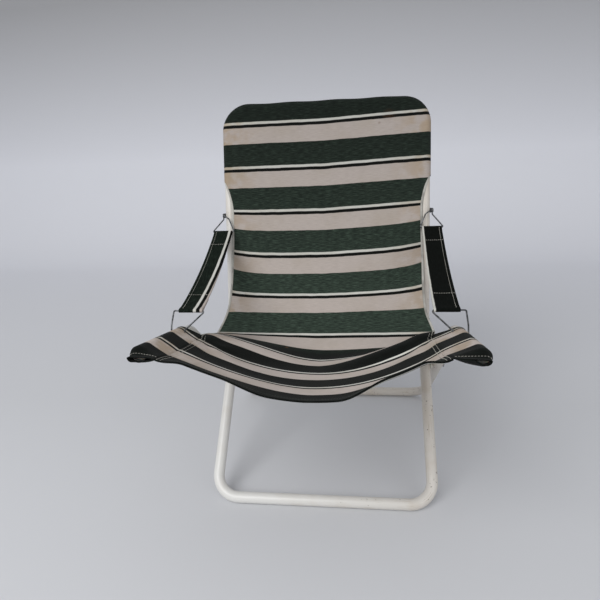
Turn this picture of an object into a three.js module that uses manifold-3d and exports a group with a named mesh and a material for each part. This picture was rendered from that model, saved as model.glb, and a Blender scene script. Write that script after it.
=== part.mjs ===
// Folding sling chair: two bent steel tube frames crossed on a pivot, a striped canvas sling that hangs between
// the head bar and the two seat arms, and a cloth armrest on each side carried by wire bails.
// Millimetres. X runs across the chair, Y to its back, Z up. Left is -X.
import * as THREE from "three";
import { mergeVertices } from "three/addons/utils/BufferGeometryUtils.js";
import Module from "manifold-3d";

const wasm = await Module();
wasm.setup();

// Driving dimensions
const TUBE = { diameter: 24, wall: 1.2 };
const FIT = { clearance: 0.3 };
const FRAME = {
  leg_half_spacing: 232.5,
  floor_bar_spacing: 482,
  pivot_setback: 227,
  pivot_height: 228,
  back_height: 815,
  rail_lean_deg: 14.1,
  back_bend_past_pivot: 32,
  seat_bend_past_pivot: 250,
  arm_rise_deg: 12.7,
  arm_length: 228,
  corner_radius: 50,
  frame_bend_radius: 70,
};
const JOINT = { above_bend: 90, plug_length: 30, rivet_diameter: 4, rivet_head: 1.2 };
const PIVOT = {
  rivet_diameter: 8,
  head_diameter: 15,
  head_height: 3,
  spacer_diameter: 20,
  spacer_thickness: 5.5,
};
const CAP = { head_height: 4, stem_length: 15 };
const PIN = {
  diameter: 5,
  head_diameter: 9,
  head_height: 2,
  below_pocket: 84.5,
  along_the_arm: 64,
};
const WIRE = { diameter: 3, bend_radius: 3, neck_length: 11 };
const UPPER_BAIL = {
  reach: 47,
  drop_deg: 48,
  bar_centre_outboard: 14,
  bar_length: 54,
  crossing_standoff: 20,
  crossing_rise: 10,
};
const LOWER_BAIL = {
  reach: 48.5,
  lean_deg: 57.6,
  bar_centre_inboard: 20,
  bar_length: 63,
  saddle_standoff: 20,
};
const CLOTH = { thickness: 1.6, gap: 0.4 };
const SLING = {
  edge_inside_rail: 5,
  low_behind_bend: 84,
  low_below_bend: 92,
  front_overhang: 29,
  front_sag: 66,
  hem_drop: 6,
  hem_drop_deg: 70,
  side_lobe_width: 4,
  narrows_before_sleeve: 20,
  held_below_bail: 24,
  freed_over: 60,
};
const POCKET = { depth: 165, flare_length: 45 };
const SLEEVE = { seam_inboard: 50, behind_pin_gap: 10, mouth_overhang: 30 };
const STRAP = { width: 44, thickness: 2.4, sag: 12, hem_wall: 1.3 };

// Counts of facets
const TUBE_SIDES = 16;
const WIRE_SIDES = 8;
const ROUND_SIDES = 16;
const DEG_PER_TUBE_STEP = 13.5;
const DEG_PER_WIRE_STEP = 30;
const EYE_STEPS = 11;
const SEAT_PANELS = [14, 24];
const BACK_PANELS = [10, 18];
const STRAP_PANELS = 14;

// Shares that shape the curves
const BACK_HANDLE_SHARE = 0.25;
const LOW_HANDLE_SHARE = 0.34;
const SEAT_HANDLE_SHARE = 0.16;
const FRONT_RISE_SHARE = 0.4;
const SAG_MIDDLE_POWER = 1.9;
const SAG_SIDE_POWER = 1.8;
const EYE_TURN_SHARE = 0.86;
const EDGE_POWER = 4;

const rad = THREE.MathUtils.degToRad;
const tubeRadius = TUBE.diameter / 2;
const tubeBoreRadius = tubeRadius - TUBE.wall;
const legHalf = FRAME.leg_half_spacing;
const seatHalf = legHalf + TUBE.diameter + PIVOT.spacer_thickness;
const slingHalf = legHalf - SLING.edge_inside_rail;
const wireRadius = WIRE.diameter / 2;
const pinRadius = PIN.diameter / 2;

// Side profile: points in the plane of the chair's length, as Vector2(y, z)
const heading = (deg) => new THREE.Vector2(Math.cos(rad(deg)), Math.sin(rad(deg)));
const along = (point, direction, distance) => point.clone().addScaledVector(direction, distance);
const frontBar = new THREE.Vector2(0, tubeRadius);
const rearBar = new THREE.Vector2(FRAME.floor_bar_spacing, tubeRadius);
const pivot = new THREE.Vector2(FRAME.pivot_setback, FRAME.pivot_height);
const legUp = pivot.clone().sub(frontBar).normalize();
const backBend = along(pivot, legUp, FRAME.back_bend_past_pivot);
const railUp = heading(90 - FRAME.rail_lean_deg);
const headBar = along(backBend, railUp, (FRAME.back_height - backBend.y) / railUp.y);
const seatUp = pivot.clone().sub(rearBar).normalize();
const seatBend = along(pivot, seatUp, FRAME.seat_bend_past_pivot);
const armForward = heading(180 - FRAME.arm_rise_deg);
const armEnd = along(seatBend, armForward, FRAME.arm_length);
const pocketFoot = along(headBar, railUp, -POCKET.depth);
const upperPin = along(pocketFoot, railUp, -PIN.below_pocket);
const lowerPin = along(seatBend, armForward, PIN.along_the_arm);
const railForward = new THREE.Vector2(-railUp.y, railUp.x);
const armUp = new THREE.Vector2(-armForward.y, armForward.x).multiplyScalar(-1);

const at = (x, profile) => new THREE.Vector3(x, profile.x, profile.y);

// A route of straights and round bends, kept as the stations where a tube needs a ring
class BentRoute extends THREE.Curve {
  constructor(stations) {
    super();
    this.stations = stations;
  }
  get steps() {
    return this.stations.length - 1;
  }
  getPoint(t, target = new THREE.Vector3()) {
    const place = t * this.steps;
    const i = Math.min(Math.floor(place), this.steps - 1);
    return target.lerpVectors(this.stations[i].point, this.stations[i + 1].point, place - i);
  }
  getPointAt(t, target) {
    return this.getPoint(t, target);
  }
  getTangentAt(t, target = new THREE.Vector3()) {
    return target.copy(this.stations[Math.round(t * this.steps)].tangent);
  }
  getSpacedPoints() {
    return this.stations.map((s) => s.point.clone());
  }
}

// Stations through corners, each rounded by its radius in a plane of its own
function bentStations(corners, radii, stepDeg = DEG_PER_TUBE_STEP) {
  const stations = [];
  const add = (point, tangent) => stations.push({ point: point.clone(), tangent: tangent.clone() });
  corners.forEach((corner, i) => {
    const before = i > 0 ? corner.clone().sub(corners[i - 1]).normalize() : null;
    const after = i < corners.length - 1 ? corners[i + 1].clone().sub(corner).normalize() : null;
    if (!before || !after) {
      add(corner, before || after);
      return;
    }
    const turn = before.angleTo(after);
    const setback = radii[i] * Math.tan(turn / 2);
    const start = corner.clone().addScaledVector(before, -setback);
    const inward = after.clone().addScaledVector(before, -after.dot(before)).normalize();
    const centre = start.clone().addScaledVector(inward, radii[i]);
    const pieces = Math.max(2, Math.ceil(THREE.MathUtils.radToDeg(turn) / stepDeg));
    for (let k = 0; k <= pieces; k++) {
      const angle = (turn * k) / pieces;
      const point = centre
        .clone()
        .addScaledVector(before, radii[i] * Math.sin(angle))
        .addScaledVector(inward, -radii[i] * Math.cos(angle));
      const tangent = before.clone().multiplyScalar(Math.cos(angle)).addScaledVector(inward, Math.sin(angle));
      add(point, tangent);
    }
  });
  return stations;
}

// A many-sided round section whose flats, not corners, lie at the stated radius
function roundSection(radius, sides, phase) {
  const reach = radius / Math.cos(Math.PI / sides);
  const points = [];
  for (let k = 0; k < sides; k++) {
    const angle = phase + ((k + 0.5) * 2 * Math.PI) / sides;
    points.push(new THREE.Vector2(reach * Math.cos(angle), reach * Math.sin(angle)));
  }
  return new THREE.Shape(points);
}

// Turns the section so that one of its flats faces straight down at the station given
function flatDownPhase(route, station) {
  const frames = route.computeFrenetFrames(route.steps, false);
  return Math.atan2(-frames.binormals[station].z, -frames.normals[station].z);
}

function sweep(stations, radius, sides, flatStation = 0) {
  const route = new BentRoute(stations);
  const phase = flatDownPhase(route, flatStation);
  const section = roundSection(radius, sides, phase);
  return new THREE.ExtrudeGeometry(section, { steps: route.steps, extrudePath: route, curveSegments: 1 });
}

// Solids for joining and cutting
function toSolid(geometry) {
  const g = geometry.clone();
  g.deleteAttribute("normal");
  g.deleteAttribute("uv");
  const merged = mergeVertices(g.index ? g.toNonIndexed() : g, 1e-4);
  return new wasm.Manifold(
    new wasm.Mesh({
      numProp: 3,
      vertProperties: merged.attributes.position.array,
      triVerts: new Uint32Array(merged.index.array),
    }),
  );
}

function toGeometry(solid) {
  const mesh = solid.getMesh();
  const geometry = new THREE.BufferGeometry();
  geometry.setAttribute("position", new THREE.BufferAttribute(new Float32Array(mesh.vertProperties), 3));
  geometry.setIndex(new THREE.BufferAttribute(new Uint32Array(mesh.triVerts), 1));
  geometry.computeVertexNormals();
  return geometry;
}

const cutAway = (geometry, cutters) =>
  toGeometry(cutters.reduce((solid, cutter) => solid.subtract(toSolid(cutter)), toSolid(geometry)));
const joined = (geometries) => toGeometry(geometries.map(toSolid).reduce((a, b) => a.add(b)));

// A turned piece about the X axis, from its profile of (radius, x) pairs
function turnedAlongX(profile, centre, sides = ROUND_SIDES) {
  const geometry = new THREE.LatheGeometry(
    profile.map(([radius, x]) => new THREE.Vector2(radius, x)),
    sides,
  );
  geometry.rotateZ(-Math.PI / 2);
  geometry.translate(0, centre.x, centre.y);
  return geometry;
}

// A straight round bar or bore between two points
function rod(from, to, radius, sides = ROUND_SIDES) {
  const axis = to.clone().sub(from);
  const geometry = new THREE.CylinderGeometry(radius, radius, axis.length(), sides);
  geometry.translate(0, axis.length() / 2, 0);
  const up = new THREE.Vector3(0, 1, 0);
  geometry.applyQuaternion(new THREE.Quaternion().setFromUnitVectors(up, axis.normalize()));
  geometry.translate(from.x, from.y, from.z);
  return geometry;
}

const crossBore = (x, profile, radius) =>
  rod(at(x - TUBE.diameter, profile), at(x + TUBE.diameter, profile), radius);

// Finishes
const PAINT = new THREE.MeshStandardMaterial({ color: 0xe9e6dd, roughness: 0.4, metalness: 0.05 });
const STEEL = new THREE.MeshStandardMaterial({ color: 0x8d9094, roughness: 0.35, metalness: 0.9 });
const DARK_WIRE = new THREE.MeshStandardMaterial({ color: 0x3c3f45, roughness: 0.45, metalness: 0.8 });
const PLASTIC = new THREE.MeshStandardMaterial({ color: 0xe8e6e0, roughness: 0.6, metalness: 0 });
const GREEN_CANVAS = new THREE.MeshStandardMaterial({ color: 0x24332b, roughness: 0.95, metalness: 0 });
const CREAM_CANVAS = new THREE.MeshStandardMaterial({ color: 0xc9beb6, roughness: 0.95, metalness: 0 });

const chair = new THREE.Group();
function place(name, geometry, finish) {
  const mesh = new THREE.Mesh(geometry, finish.clone());
  mesh.name = name;
  chair.add(mesh);
}
const SIDES = [
  { name: "left", sign: -1 },
  { name: "right", sign: 1 },
];

// Back frame, lower half: floor bar, front legs, the bend above the pivot and the socket ends of the rails
const jointPlace = along(backBend, railUp, JOINT.above_bend);
function frontLegHoop() {
  const half = legHalf;
  const corners = [
    at(-half, jointPlace),
    at(-half, backBend),
    at(-half, frontBar),
    at(half, frontBar),
    at(half, backBend),
    at(half, jointPlace),
  ];
  const bend = FRAME.frame_bend_radius;
  const stations = bentStations(corners, [0, bend, FRAME.corner_radius, FRAME.corner_radius, bend, 0]);
  const barStation = stations.findIndex((s) => s.tangent.x > 1 - 1e-9);
  const bores = SIDES.flatMap(({ sign }) => [
    crossBore(sign * half, pivot, PIVOT.rivet_diameter / 2 + FIT.clearance),
    crossBore(sign * half, jointRivetPlace, JOINT.rivet_diameter / 2 + FIT.clearance),
    rod(
      at(sign * half, along(jointPlace, railUp, -JOINT.plug_length - FIT.clearance)),
      at(sign * half, along(jointPlace, railUp, TUBE.diameter)),
      tubeBoreRadius,
    ),
  ]);
  return cutAway(sweep(stations, tubeRadius, TUBE_SIDES, barStation), bores);
}

// Back frame, upper half: both rails and the head bar, with swaged ends that plug into the lower half
const jointRivetPlace = along(jointPlace, railUp, -JOINT.plug_length / 2);
function backHoop() {
  const half = legHalf;
  const start = along(jointPlace, railUp, FIT.clearance);
  const corners = [at(-half, start), at(-half, headBar), at(half, headBar), at(half, start)];
  const stations = bentStations(corners, [0, FRAME.corner_radius, FRAME.corner_radius, 0]);
  const plugs = SIDES.map(({ sign }) =>
    rod(
      at(sign * half, along(jointPlace, railUp, -JOINT.plug_length)),
      at(sign * half, along(start, railUp, TUBE.wall)),
      tubeBoreRadius - FIT.clearance,
    ),
  );
  const bores = SIDES.flatMap(({ sign }) => [
    crossBore(sign * half, upperPin, pinRadius + FIT.clearance),
    crossBore(sign * half, jointRivetPlace, JOINT.rivet_diameter / 2 + FIT.clearance),
  ]);
  return cutAway(joined([sweep(stations, tubeRadius, TUBE_SIDES), ...plugs]), bores);
}

// Seat frame: rear floor bar, rear legs through the pivots, and the two free seat arms, in one tube
function seatFrameTube() {
  const half = seatHalf;
  const corners = [
    at(-half, armEnd),
    at(-half, seatBend),
    at(-half, rearBar),
    at(half, rearBar),
    at(half, seatBend),
    at(half, armEnd),
  ];
  const bend = FRAME.frame_bend_radius;
  const stations = bentStations(corners, [0, bend, FRAME.corner_radius, FRAME.corner_radius, bend, 0]);
  const barStation = stations.findIndex((s) => s.tangent.x > 1 - 1e-9);
  const bores = SIDES.flatMap(({ sign }) => [
    crossBore(sign * half, pivot, PIVOT.rivet_diameter / 2 + FIT.clearance),
    crossBore(sign * half, lowerPin, pinRadius + FIT.clearance),
    rod(
      at(sign * half, along(armEnd, armForward, -CAP.stem_length - FIT.clearance)),
      at(sign * half, along(armEnd, armForward, TUBE.diameter)),
      tubeBoreRadius,
    ),
  ]);
  return cutAway(sweep(stations, tubeRadius, TUBE_SIDES, barStation), bores);
}

function armEndCap(sign) {
  const x = sign * seatHalf;
  const headStart = along(armEnd, armForward, FIT.clearance);
  const headEnd = along(headStart, armForward, CAP.head_height);
  const stemEnd = along(armEnd, armForward, -CAP.stem_length);
  const stemTop = along(headStart, armForward, CAP.head_height / 2);
  return joined([
    rod(at(x, headStart), at(x, headEnd), tubeRadius),
    rod(at(x, stemEnd), at(x, stemTop), tubeBoreRadius - FIT.clearance),
  ]);
}

// Rivet with a domed head outside and a formed head inside, its shank through both tubes
function pivotRivet(sign) {
  const inner = legHalf - tubeRadius - FIT.clearance;
  const outer = seatHalf + tubeRadius + FIT.clearance;
  const shank = PIVOT.rivet_diameter / 2;
  const head = PIVOT.head_diameter / 2;
  const flank = (head + shank) / 2;
  const rim = PIVOT.head_height / 2;
  const profile = [
    [0, inner - PIVOT.head_height],
    [flank, inner - PIVOT.head_height],
    [head, inner - rim],
    [head, inner],
    [shank, inner],
    [shank, outer],
    [head, outer],
    [head, outer + rim],
    [flank, outer + PIVOT.head_height],
    [0, outer + PIVOT.head_height],
  ];
  return mirrored(turnedAlongX(profile, pivot), sign);
}

// Copies made for the right side are turned over for the left
function mirrored(geometry, sign) {
  if (sign > 0) return geometry;
  const g = geometry.index ? geometry.toNonIndexed() : geometry.clone();
  g.scale(-1, 1, 1);
  const p = g.attributes.position;
  for (let i = 0; i < p.count; i += 3) {
    const a = new THREE.Vector3().fromBufferAttribute(p, i);
    const b = new THREE.Vector3().fromBufferAttribute(p, i + 1);
    p.setXYZ(i, b.x, b.y, b.z);
    p.setXYZ(i + 1, a.x, a.y, a.z);
  }
  g.computeVertexNormals();
  return g;
}

function pivotSpacer(sign) {
  const inner = legHalf + tubeRadius + FIT.clearance;
  const outer = seatHalf - tubeRadius - FIT.clearance;
  const hole = PIVOT.rivet_diameter / 2 + FIT.clearance;
  const rim = PIVOT.spacer_diameter / 2;
  const profile = [
    [hole, inner],
    [rim, inner],
    [rim, outer],
    [hole, outer],
    [hole, inner],
  ];
  return mirrored(turnedAlongX(profile, pivot), sign);
}

function jointRivet(sign) {
  const reach = tubeRadius + FIT.clearance;
  const shank = JOINT.rivet_diameter / 2;
  const head = JOINT.rivet_diameter;
  const centre = legHalf;
  const profile = [
    [0, centre - reach - JOINT.rivet_head],
    [shank, centre - reach - JOINT.rivet_head],
    [head, centre - reach],
    [shank, centre - reach],
    [shank, centre + reach],
    [head, centre + reach],
    [shank, centre + reach + JOINT.rivet_head],
    [0, centre + reach + JOINT.rivet_head],
  ];
  return mirrored(turnedAlongX(profile, jointRivetPlace), sign);
}

// Wire eyes sit on the pin stubs: two side by side outside the rail, and one each side of the arm
const eyePitch = WIRE.diameter + FIT.clearance;
const UPPER_EYES = {
  inner: legHalf + tubeRadius + FIT.clearance + wireRadius,
  get outer() {
    return this.inner + eyePitch;
  },
};
const LOWER_EYES = {
  inner: seatHalf - tubeRadius - FIT.clearance - wireRadius,
  outer: seatHalf + tubeRadius + FIT.clearance + wireRadius,
};

function headedPin(sign, centre, from, to) {
  const head = PIN.head_diameter / 2;
  const profile = [
    [0, from - PIN.head_height],
    [head, from - PIN.head_height],
    [head, from],
    [pinRadius, from],
    [pinRadius, to],
    [head, to],
    [head, to + PIN.head_height],
    [0, to + PIN.head_height],
  ];
  return mirrored(turnedAlongX(profile, centre), sign);
}

const upperBailPin = (sign) =>
  headedPin(
    sign,
    upperPin,
    legHalf - tubeRadius - FIT.clearance,
    UPPER_EYES.outer + wireRadius + FIT.clearance,
  );
const lowerBailPin = (sign) =>
  headedPin(
    sign,
    lowerPin,
    LOWER_EYES.inner - wireRadius - FIT.clearance,
    LOWER_EYES.outer + wireRadius + FIT.clearance,
  );

// Stations of an open eye round a pin, wound so that the wire leaves it towards its leg
const eyeRadius = pinRadius + FIT.clearance + wireRadius;
function eyeStations(x, centre, leaveTowards, side) {
  const reach = new THREE.Vector2(leaveTowards.y - centre.x, leaveTowards.z - centre.y);
  const bearing = Math.atan2(reach.y, reach.x);
  const contact = Math.acos(Math.min(1, eyeRadius / reach.length()));
  const last = bearing + side * contact;
  const turn = 2 * Math.PI * EYE_TURN_SHARE;
  const stations = [];
  for (let k = 0; k <= EYE_STEPS; k++) {
    const angle = last + side * turn * (1 - k / EYE_STEPS);
    const point = at(x, along(centre, heading(THREE.MathUtils.radToDeg(angle)), eyeRadius));
    const tangent = new THREE.Vector3(0, side * Math.sin(angle), -side * Math.cos(angle));
    stations.push({ point, tangent });
  }
  return stations;
}

// One wire bent into a bail: an eye, a leg, the bar that carries the cloth, the other leg and its eye
function bailWire(sign, pin, innerEyeX, outerEyeX, route, innerSide, outerSide) {
  const start = eyeStations(innerEyeX, pin, route[0], innerSide);
  const end = eyeStations(outerEyeX, pin, route[route.length - 1], outerSide)
    .reverse()
    .map(({ point, tangent }) => ({ point, tangent: tangent.clone().negate() }));
  const corners = [start[start.length - 1].point, ...route, end[0].point];
  const radii = corners.map(() => WIRE.bend_radius);
  const middle = bentStations(corners, radii, DEG_PER_WIRE_STEP).slice(1, -1);
  return mirrored(sweep([...start, ...middle, ...end], wireRadius, WIRE_SIDES), sign);
}

const towards = (from, to, distance) => along(from, to.clone().sub(from).normalize(), distance);
const upperBar = along(upperPin, heading(180 + UPPER_BAIL.drop_deg), UPPER_BAIL.reach);
const lowerBar = along(lowerPin, heading(LOWER_BAIL.lean_deg), LOWER_BAIL.reach);
const upperBarCentre = legHalf + UPPER_BAIL.bar_centre_outboard;
const lowerBarCentre = seatHalf - LOWER_BAIL.bar_centre_inboard;

// The inner leg crosses in front of the rail to reach its eye outside it
function upperBail(sign) {
  const half = UPPER_BAIL.bar_length / 2;
  const crossing = along(
    along(upperPin, railUp, UPPER_BAIL.crossing_rise - UPPER_BAIL.crossing_standoff),
    railForward,
    UPPER_BAIL.crossing_standoff,
  );
  const rise = along(upperPin, railForward, UPPER_BAIL.crossing_standoff);
  const route = [
    at(UPPER_EYES.inner, rise),
    at(legHalf, crossing),
    at(upperBarCentre - half, upperBar),
    at(upperBarCentre + half, upperBar),
    at(UPPER_EYES.outer, towards(upperPin, upperBar, WIRE.neck_length)),
  ];
  return bailWire(sign, upperPin, UPPER_EYES.inner, UPPER_EYES.outer, route, 1, -1);
}

// The outer leg leans in over the arm, then steps outwards to its eye beside it
function lowerBail(sign) {
  const half = LOWER_BAIL.bar_length / 2;
  const saddle = towards(lowerPin, lowerBar, LOWER_BAIL.saddle_standoff);
  const route = [
    at(LOWER_EYES.inner, towards(lowerPin, lowerBar, WIRE.neck_length)),
    at(lowerBarCentre - half, lowerBar),
    at(lowerBarCentre + half, lowerBar),
    at(LOWER_EYES.outer, saddle),
  ];
  return bailWire(sign, lowerPin, LOWER_EYES.inner, LOWER_EYES.outer, route, 1, -1);
}

place("front_leg_hoop", frontLegHoop(), PAINT);
place("back_hoop", backHoop(), PAINT);
place("seat_frame_tube", seatFrameTube(), PAINT);
for (const { name, sign } of SIDES) {
  place(`arm_end_cap_${name}`, armEndCap(sign), PLASTIC);
  place(`pivot_rivet_${name}`, pivotRivet(sign), STEEL);
  place(`pivot_spacer_${name}`, pivotSpacer(sign), PLASTIC);
  place(`joint_rivet_${name}`, jointRivet(sign), STEEL);
  place(`upper_bail_pin_${name}`, upperBailPin(sign), STEEL);
  place(`lower_bail_pin_${name}`, lowerBailPin(sign), STEEL);
  place(`upper_bail_${name}`, upperBail(sign), DARK_WIRE);
  place(`lower_bail_${name}`, lowerBail(sign), DARK_WIRE);
}

// Cloth: a closed skin of even thickness about a surface given over the unit square
function clothSkin(surface, across, down, thickness) {
  const middle = (i, j) => surface(i / across, j / down);
  const step = 1e-3;
  const normalAt = (i, j) => {
    const u = i / across;
    const v = j / down;
    const du = surface(Math.min(u + step, 1), v).sub(surface(Math.max(u - step, 0), v));
    const dv = surface(u, Math.min(v + step, 1)).sub(surface(u, Math.max(v - step, 0)));
    return du.cross(dv).normalize();
  };
  const points = [];
  for (const side of [1, -1]) {
    for (let j = 0; j <= down; j++) {
      for (let i = 0; i <= across; i++) {
        const p = middle(i, j).addScaledVector(normalAt(i, j), (side * thickness) / 2);
        points.push(p.x, p.y, p.z);
      }
    }
  }
  const layer = (across + 1) * (down + 1);
  const id = (i, j, under) => j * (across + 1) + i + (under ? layer : 0);
  const faces = [];
  const quad = (a, b, c, d) => faces.push(a, b, c, a, c, d);
  for (let j = 0; j < down; j++) {
    for (let i = 0; i < across; i++) {
      quad(id(i, j, false), id(i + 1, j, false), id(i + 1, j + 1, false), id(i, j + 1, false));
      quad(id(i, j, true), id(i, j + 1, true), id(i + 1, j + 1, true), id(i + 1, j, true));
    }
  }
  for (let i = 0; i < across; i++) {
    quad(id(i, 0, true), id(i + 1, 0, true), id(i + 1, 0, false), id(i, 0, false));
    quad(id(i, down, false), id(i + 1, down, false), id(i + 1, down, true), id(i, down, true));
  }
  for (let j = 0; j < down; j++) {
    quad(id(0, j, false), id(0, j + 1, false), id(0, j + 1, true), id(0, j, true));
    quad(id(across, j, true), id(across, j + 1, true), id(across, j + 1, false), id(across, j, false));
  }
  const geometry = new THREE.BufferGeometry();
  geometry.setAttribute("position", new THREE.Float32BufferAttribute(points, 3));
  geometry.setIndex(faces);
  geometry.computeVertexNormals();
  return geometry;
}

// Side profile of the sling: down the front of the rails, through its lowest line, and up to the front hem
const clothOffset = tubeRadius + CLOTH.gap + CLOTH.thickness / 2;
const backTop = along(along(pocketFoot, railUp, -FIT.clearance), railForward, clothOffset);
const seatLow = new THREE.Vector2(seatBend.x + SLING.low_behind_bend, seatBend.y - SLING.low_below_bend);
const frontEdge = new THREE.Vector2(armEnd.x - SLING.front_overhang, armEnd.y - SLING.front_sag);
const hemEdge = along(frontEdge, heading(180 + SLING.hem_drop_deg), SLING.hem_drop);
const backSpan = backTop.distanceTo(seatLow);
const seatSpan = seatLow.distanceTo(frontEdge);
const backProfile = new THREE.CubicBezierCurve(
  backTop,
  along(backTop, railUp, -backSpan * BACK_HANDLE_SHARE),
  along(seatLow, heading(0), backSpan * LOW_HANDLE_SHARE),
  seatLow,
);
const seatProfile = new THREE.CubicBezierCurve(
  seatLow,
  along(seatLow, heading(180), seatSpan * SEAT_HANDLE_SHARE),
  along(frontEdge, new THREE.Vector2(1, -FRONT_RISE_SHARE).normalize(), seatSpan * SEAT_HANDLE_SHARE),
  frontEdge,
);

const smooth = (t) => THREE.MathUtils.smoothstep(t, 0, 1);
const armCentreHeight = (y) =>
  armEnd.y + ((y - armEnd.x) * (seatBend.y - armEnd.y)) / (seatBend.x - armEnd.x);
const sleeveStart = PIN.along_the_arm + SLEEVE.behind_pin_gap;
const sleeveRear = along(seatBend, armForward, sleeveStart);
const seamX = seatHalf - SLEEVE.seam_inboard;
const pocketHalf = legHalf + tubeRadius + CLOTH.gap + CLOTH.thickness;

// How much of the way up to the arms the seat has risen, from 0 at its middle to 1 at its sides
const riseShare = (across) =>
  1 - (1 - Math.min(Math.abs(across), 1) ** SAG_MIDDLE_POWER) ** SAG_SIDE_POWER;

// How far the selvedge lies behind the middle of the panel, held back against the rail
function heldBack(p) {
  const railY = backTop.x - ((backTop.y - p.y) * railUp.x) / railUp.y;
  const freed = (upperBar.y - SLING.held_below_bail - p.y) / SLING.freed_over;
  return (railY - p.x) * (1 - smooth(freed));
}

// The back panel: bowed a little forward between the rails, widening to the pocket at its top
function slingBack() {
  const length = backProfile.getLength();
  return clothSkin(
    (u, v) => {
      const p = backProfile.getPointAt(v);
      const flare = smooth(1 - (v * length) / POCKET.flare_length);
      const half = THREE.MathUtils.lerp(slingHalf, pocketHalf, flare);
      const across = 2 * u - 1;
      return at(across * half, along(p, heading(0), heldBack(p) * across ** EDGE_POWER));
    },
    ...BACK_PANELS,
    CLOTH.thickness,
  );
}

// The seat panel: its sides rise to the seams of the arm sleeves and its front edge hangs between them
function slingSeat() {
  const seatLength = seatProfile.getLength();
  const total = seatLength + SLING.hem_drop;
  const profileAt = (v) => {
    const s = v * total;
    if (s <= seatLength) return seatProfile.getPointAt(s / seatLength);
    return frontEdge.clone().lerp(hemEdge, (s - seatLength) / SLING.hem_drop);
  };
  const joinGap = FIT.clearance / total;
  return clothSkin(
    (u, v) => {
      const p = profileAt(joinGap + v * (1 - joinGap));
      const toSleeve = smooth((seatLow.x - p.x) / (seatLow.x - sleeveRear.x));
      const lobe = slingHalf + SLING.side_lobe_width * toSleeve;
      const inSleeve = p.x < sleeveRear.x + SLING.narrows_before_sleeve;
      const half = inSleeve ? seamX - FIT.clearance : lobe;
      const across = 2 * u - 1;
      const rise = (armCentreHeight(p.x) - p.y) * toSleeve * riseShare(across);
      return at(across * half, p).add(new THREE.Vector3(0, 0, rise));
    },
    ...SEAT_PANELS,
    CLOTH.thickness,
  );
}

// The head pocket: a bag of cloth round the head bar and the tops of the rails, open below
function headPocket() {
  const half = legHalf;
  const layer = (inset) => {
    const radius = tubeRadius + CLOTH.gap + inset;
    const foot = along(pocketFoot, railUp, inset ? 0 : -TUBE.diameter);
    const corners = [at(-half, foot), at(-half, headBar), at(half, headBar), at(half, foot)];
    const hoop = sweep(bentStations(corners, [0, FRAME.corner_radius, FRAME.corner_radius, 0]), radius, TUBE_SIDES);
    const height = headBar.distanceTo(foot) - FRAME.corner_radius;
    const panel = new THREE.BoxGeometry(2 * half, 2 * radius, height);
    panel.translate(0, 0, height / 2);
    const crown = new THREE.BoxGeometry(2 * (half - FRAME.corner_radius), 2 * radius, height + FRAME.corner_radius);
    crown.translate(0, 0, (height + FRAME.corner_radius) / 2);
    for (const g of [panel, crown]) {
      g.rotateX(-rad(FRAME.rail_lean_deg));
      g.translate(0, foot.x, foot.y);
    }
    const corner = SIDES.map(({ sign }) => {
      const x = sign * (half - FRAME.corner_radius);
      const centre = along(headBar, railUp, -FRAME.corner_radius);
      return rod(
        at(x, along(centre, railForward, -radius)),
        at(x, along(centre, railForward, radius)),
        FRAME.corner_radius,
        ROUND_SIDES,
      );
    });
    return [hoop, panel, crown, ...corner].map(toSolid).reduce((a, b) => a.add(b));
  };
  return toGeometry(layer(CLOTH.thickness).subtract(layer(0)));
}

// A sleeve of folded cloth round a seat arm: round over the tube, drawn to its seam on the inboard side
function armSleeve(sign) {
  const outline = (radius, reach) => {
    const contact = Math.acos(radius / reach);
    const points = [new THREE.Vector2(-reach, 0)];
    for (let k = 0; k <= TUBE_SIDES; k++) {
      const angle = (Math.PI - contact) * ((2 * k) / TUBE_SIDES - 1);
      points.push(new THREE.Vector2(radius * Math.cos(angle), radius * Math.sin(angle)));
    }
    return points;
  };
  const inner = (tubeRadius + CLOTH.gap) / Math.cos(Math.PI / TUBE_SIDES);
  const outer = inner + CLOTH.thickness;
  const shape = new THREE.Shape(outline(outer, SLEEVE.seam_inboard));
  const seamAllowance = (CLOTH.thickness * SLEEVE.seam_inboard) / outer;
  shape.holes.push(new THREE.Path(outline(inner, SLEEVE.seam_inboard - seamAllowance)));
  const length = FRAME.arm_length + SLEEVE.mouth_overhang - sleeveStart;
  const geometry = new THREE.ExtrudeGeometry(shape, { depth: length, bevelEnabled: false, steps: 4 });
  geometry.rotateX(Math.PI / 2 - rad(FRAME.arm_rise_deg));
  geometry.translate(seatHalf, sleeveRear.x, sleeveRear.y);
  return mirrored(geometry, sign);
}

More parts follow.
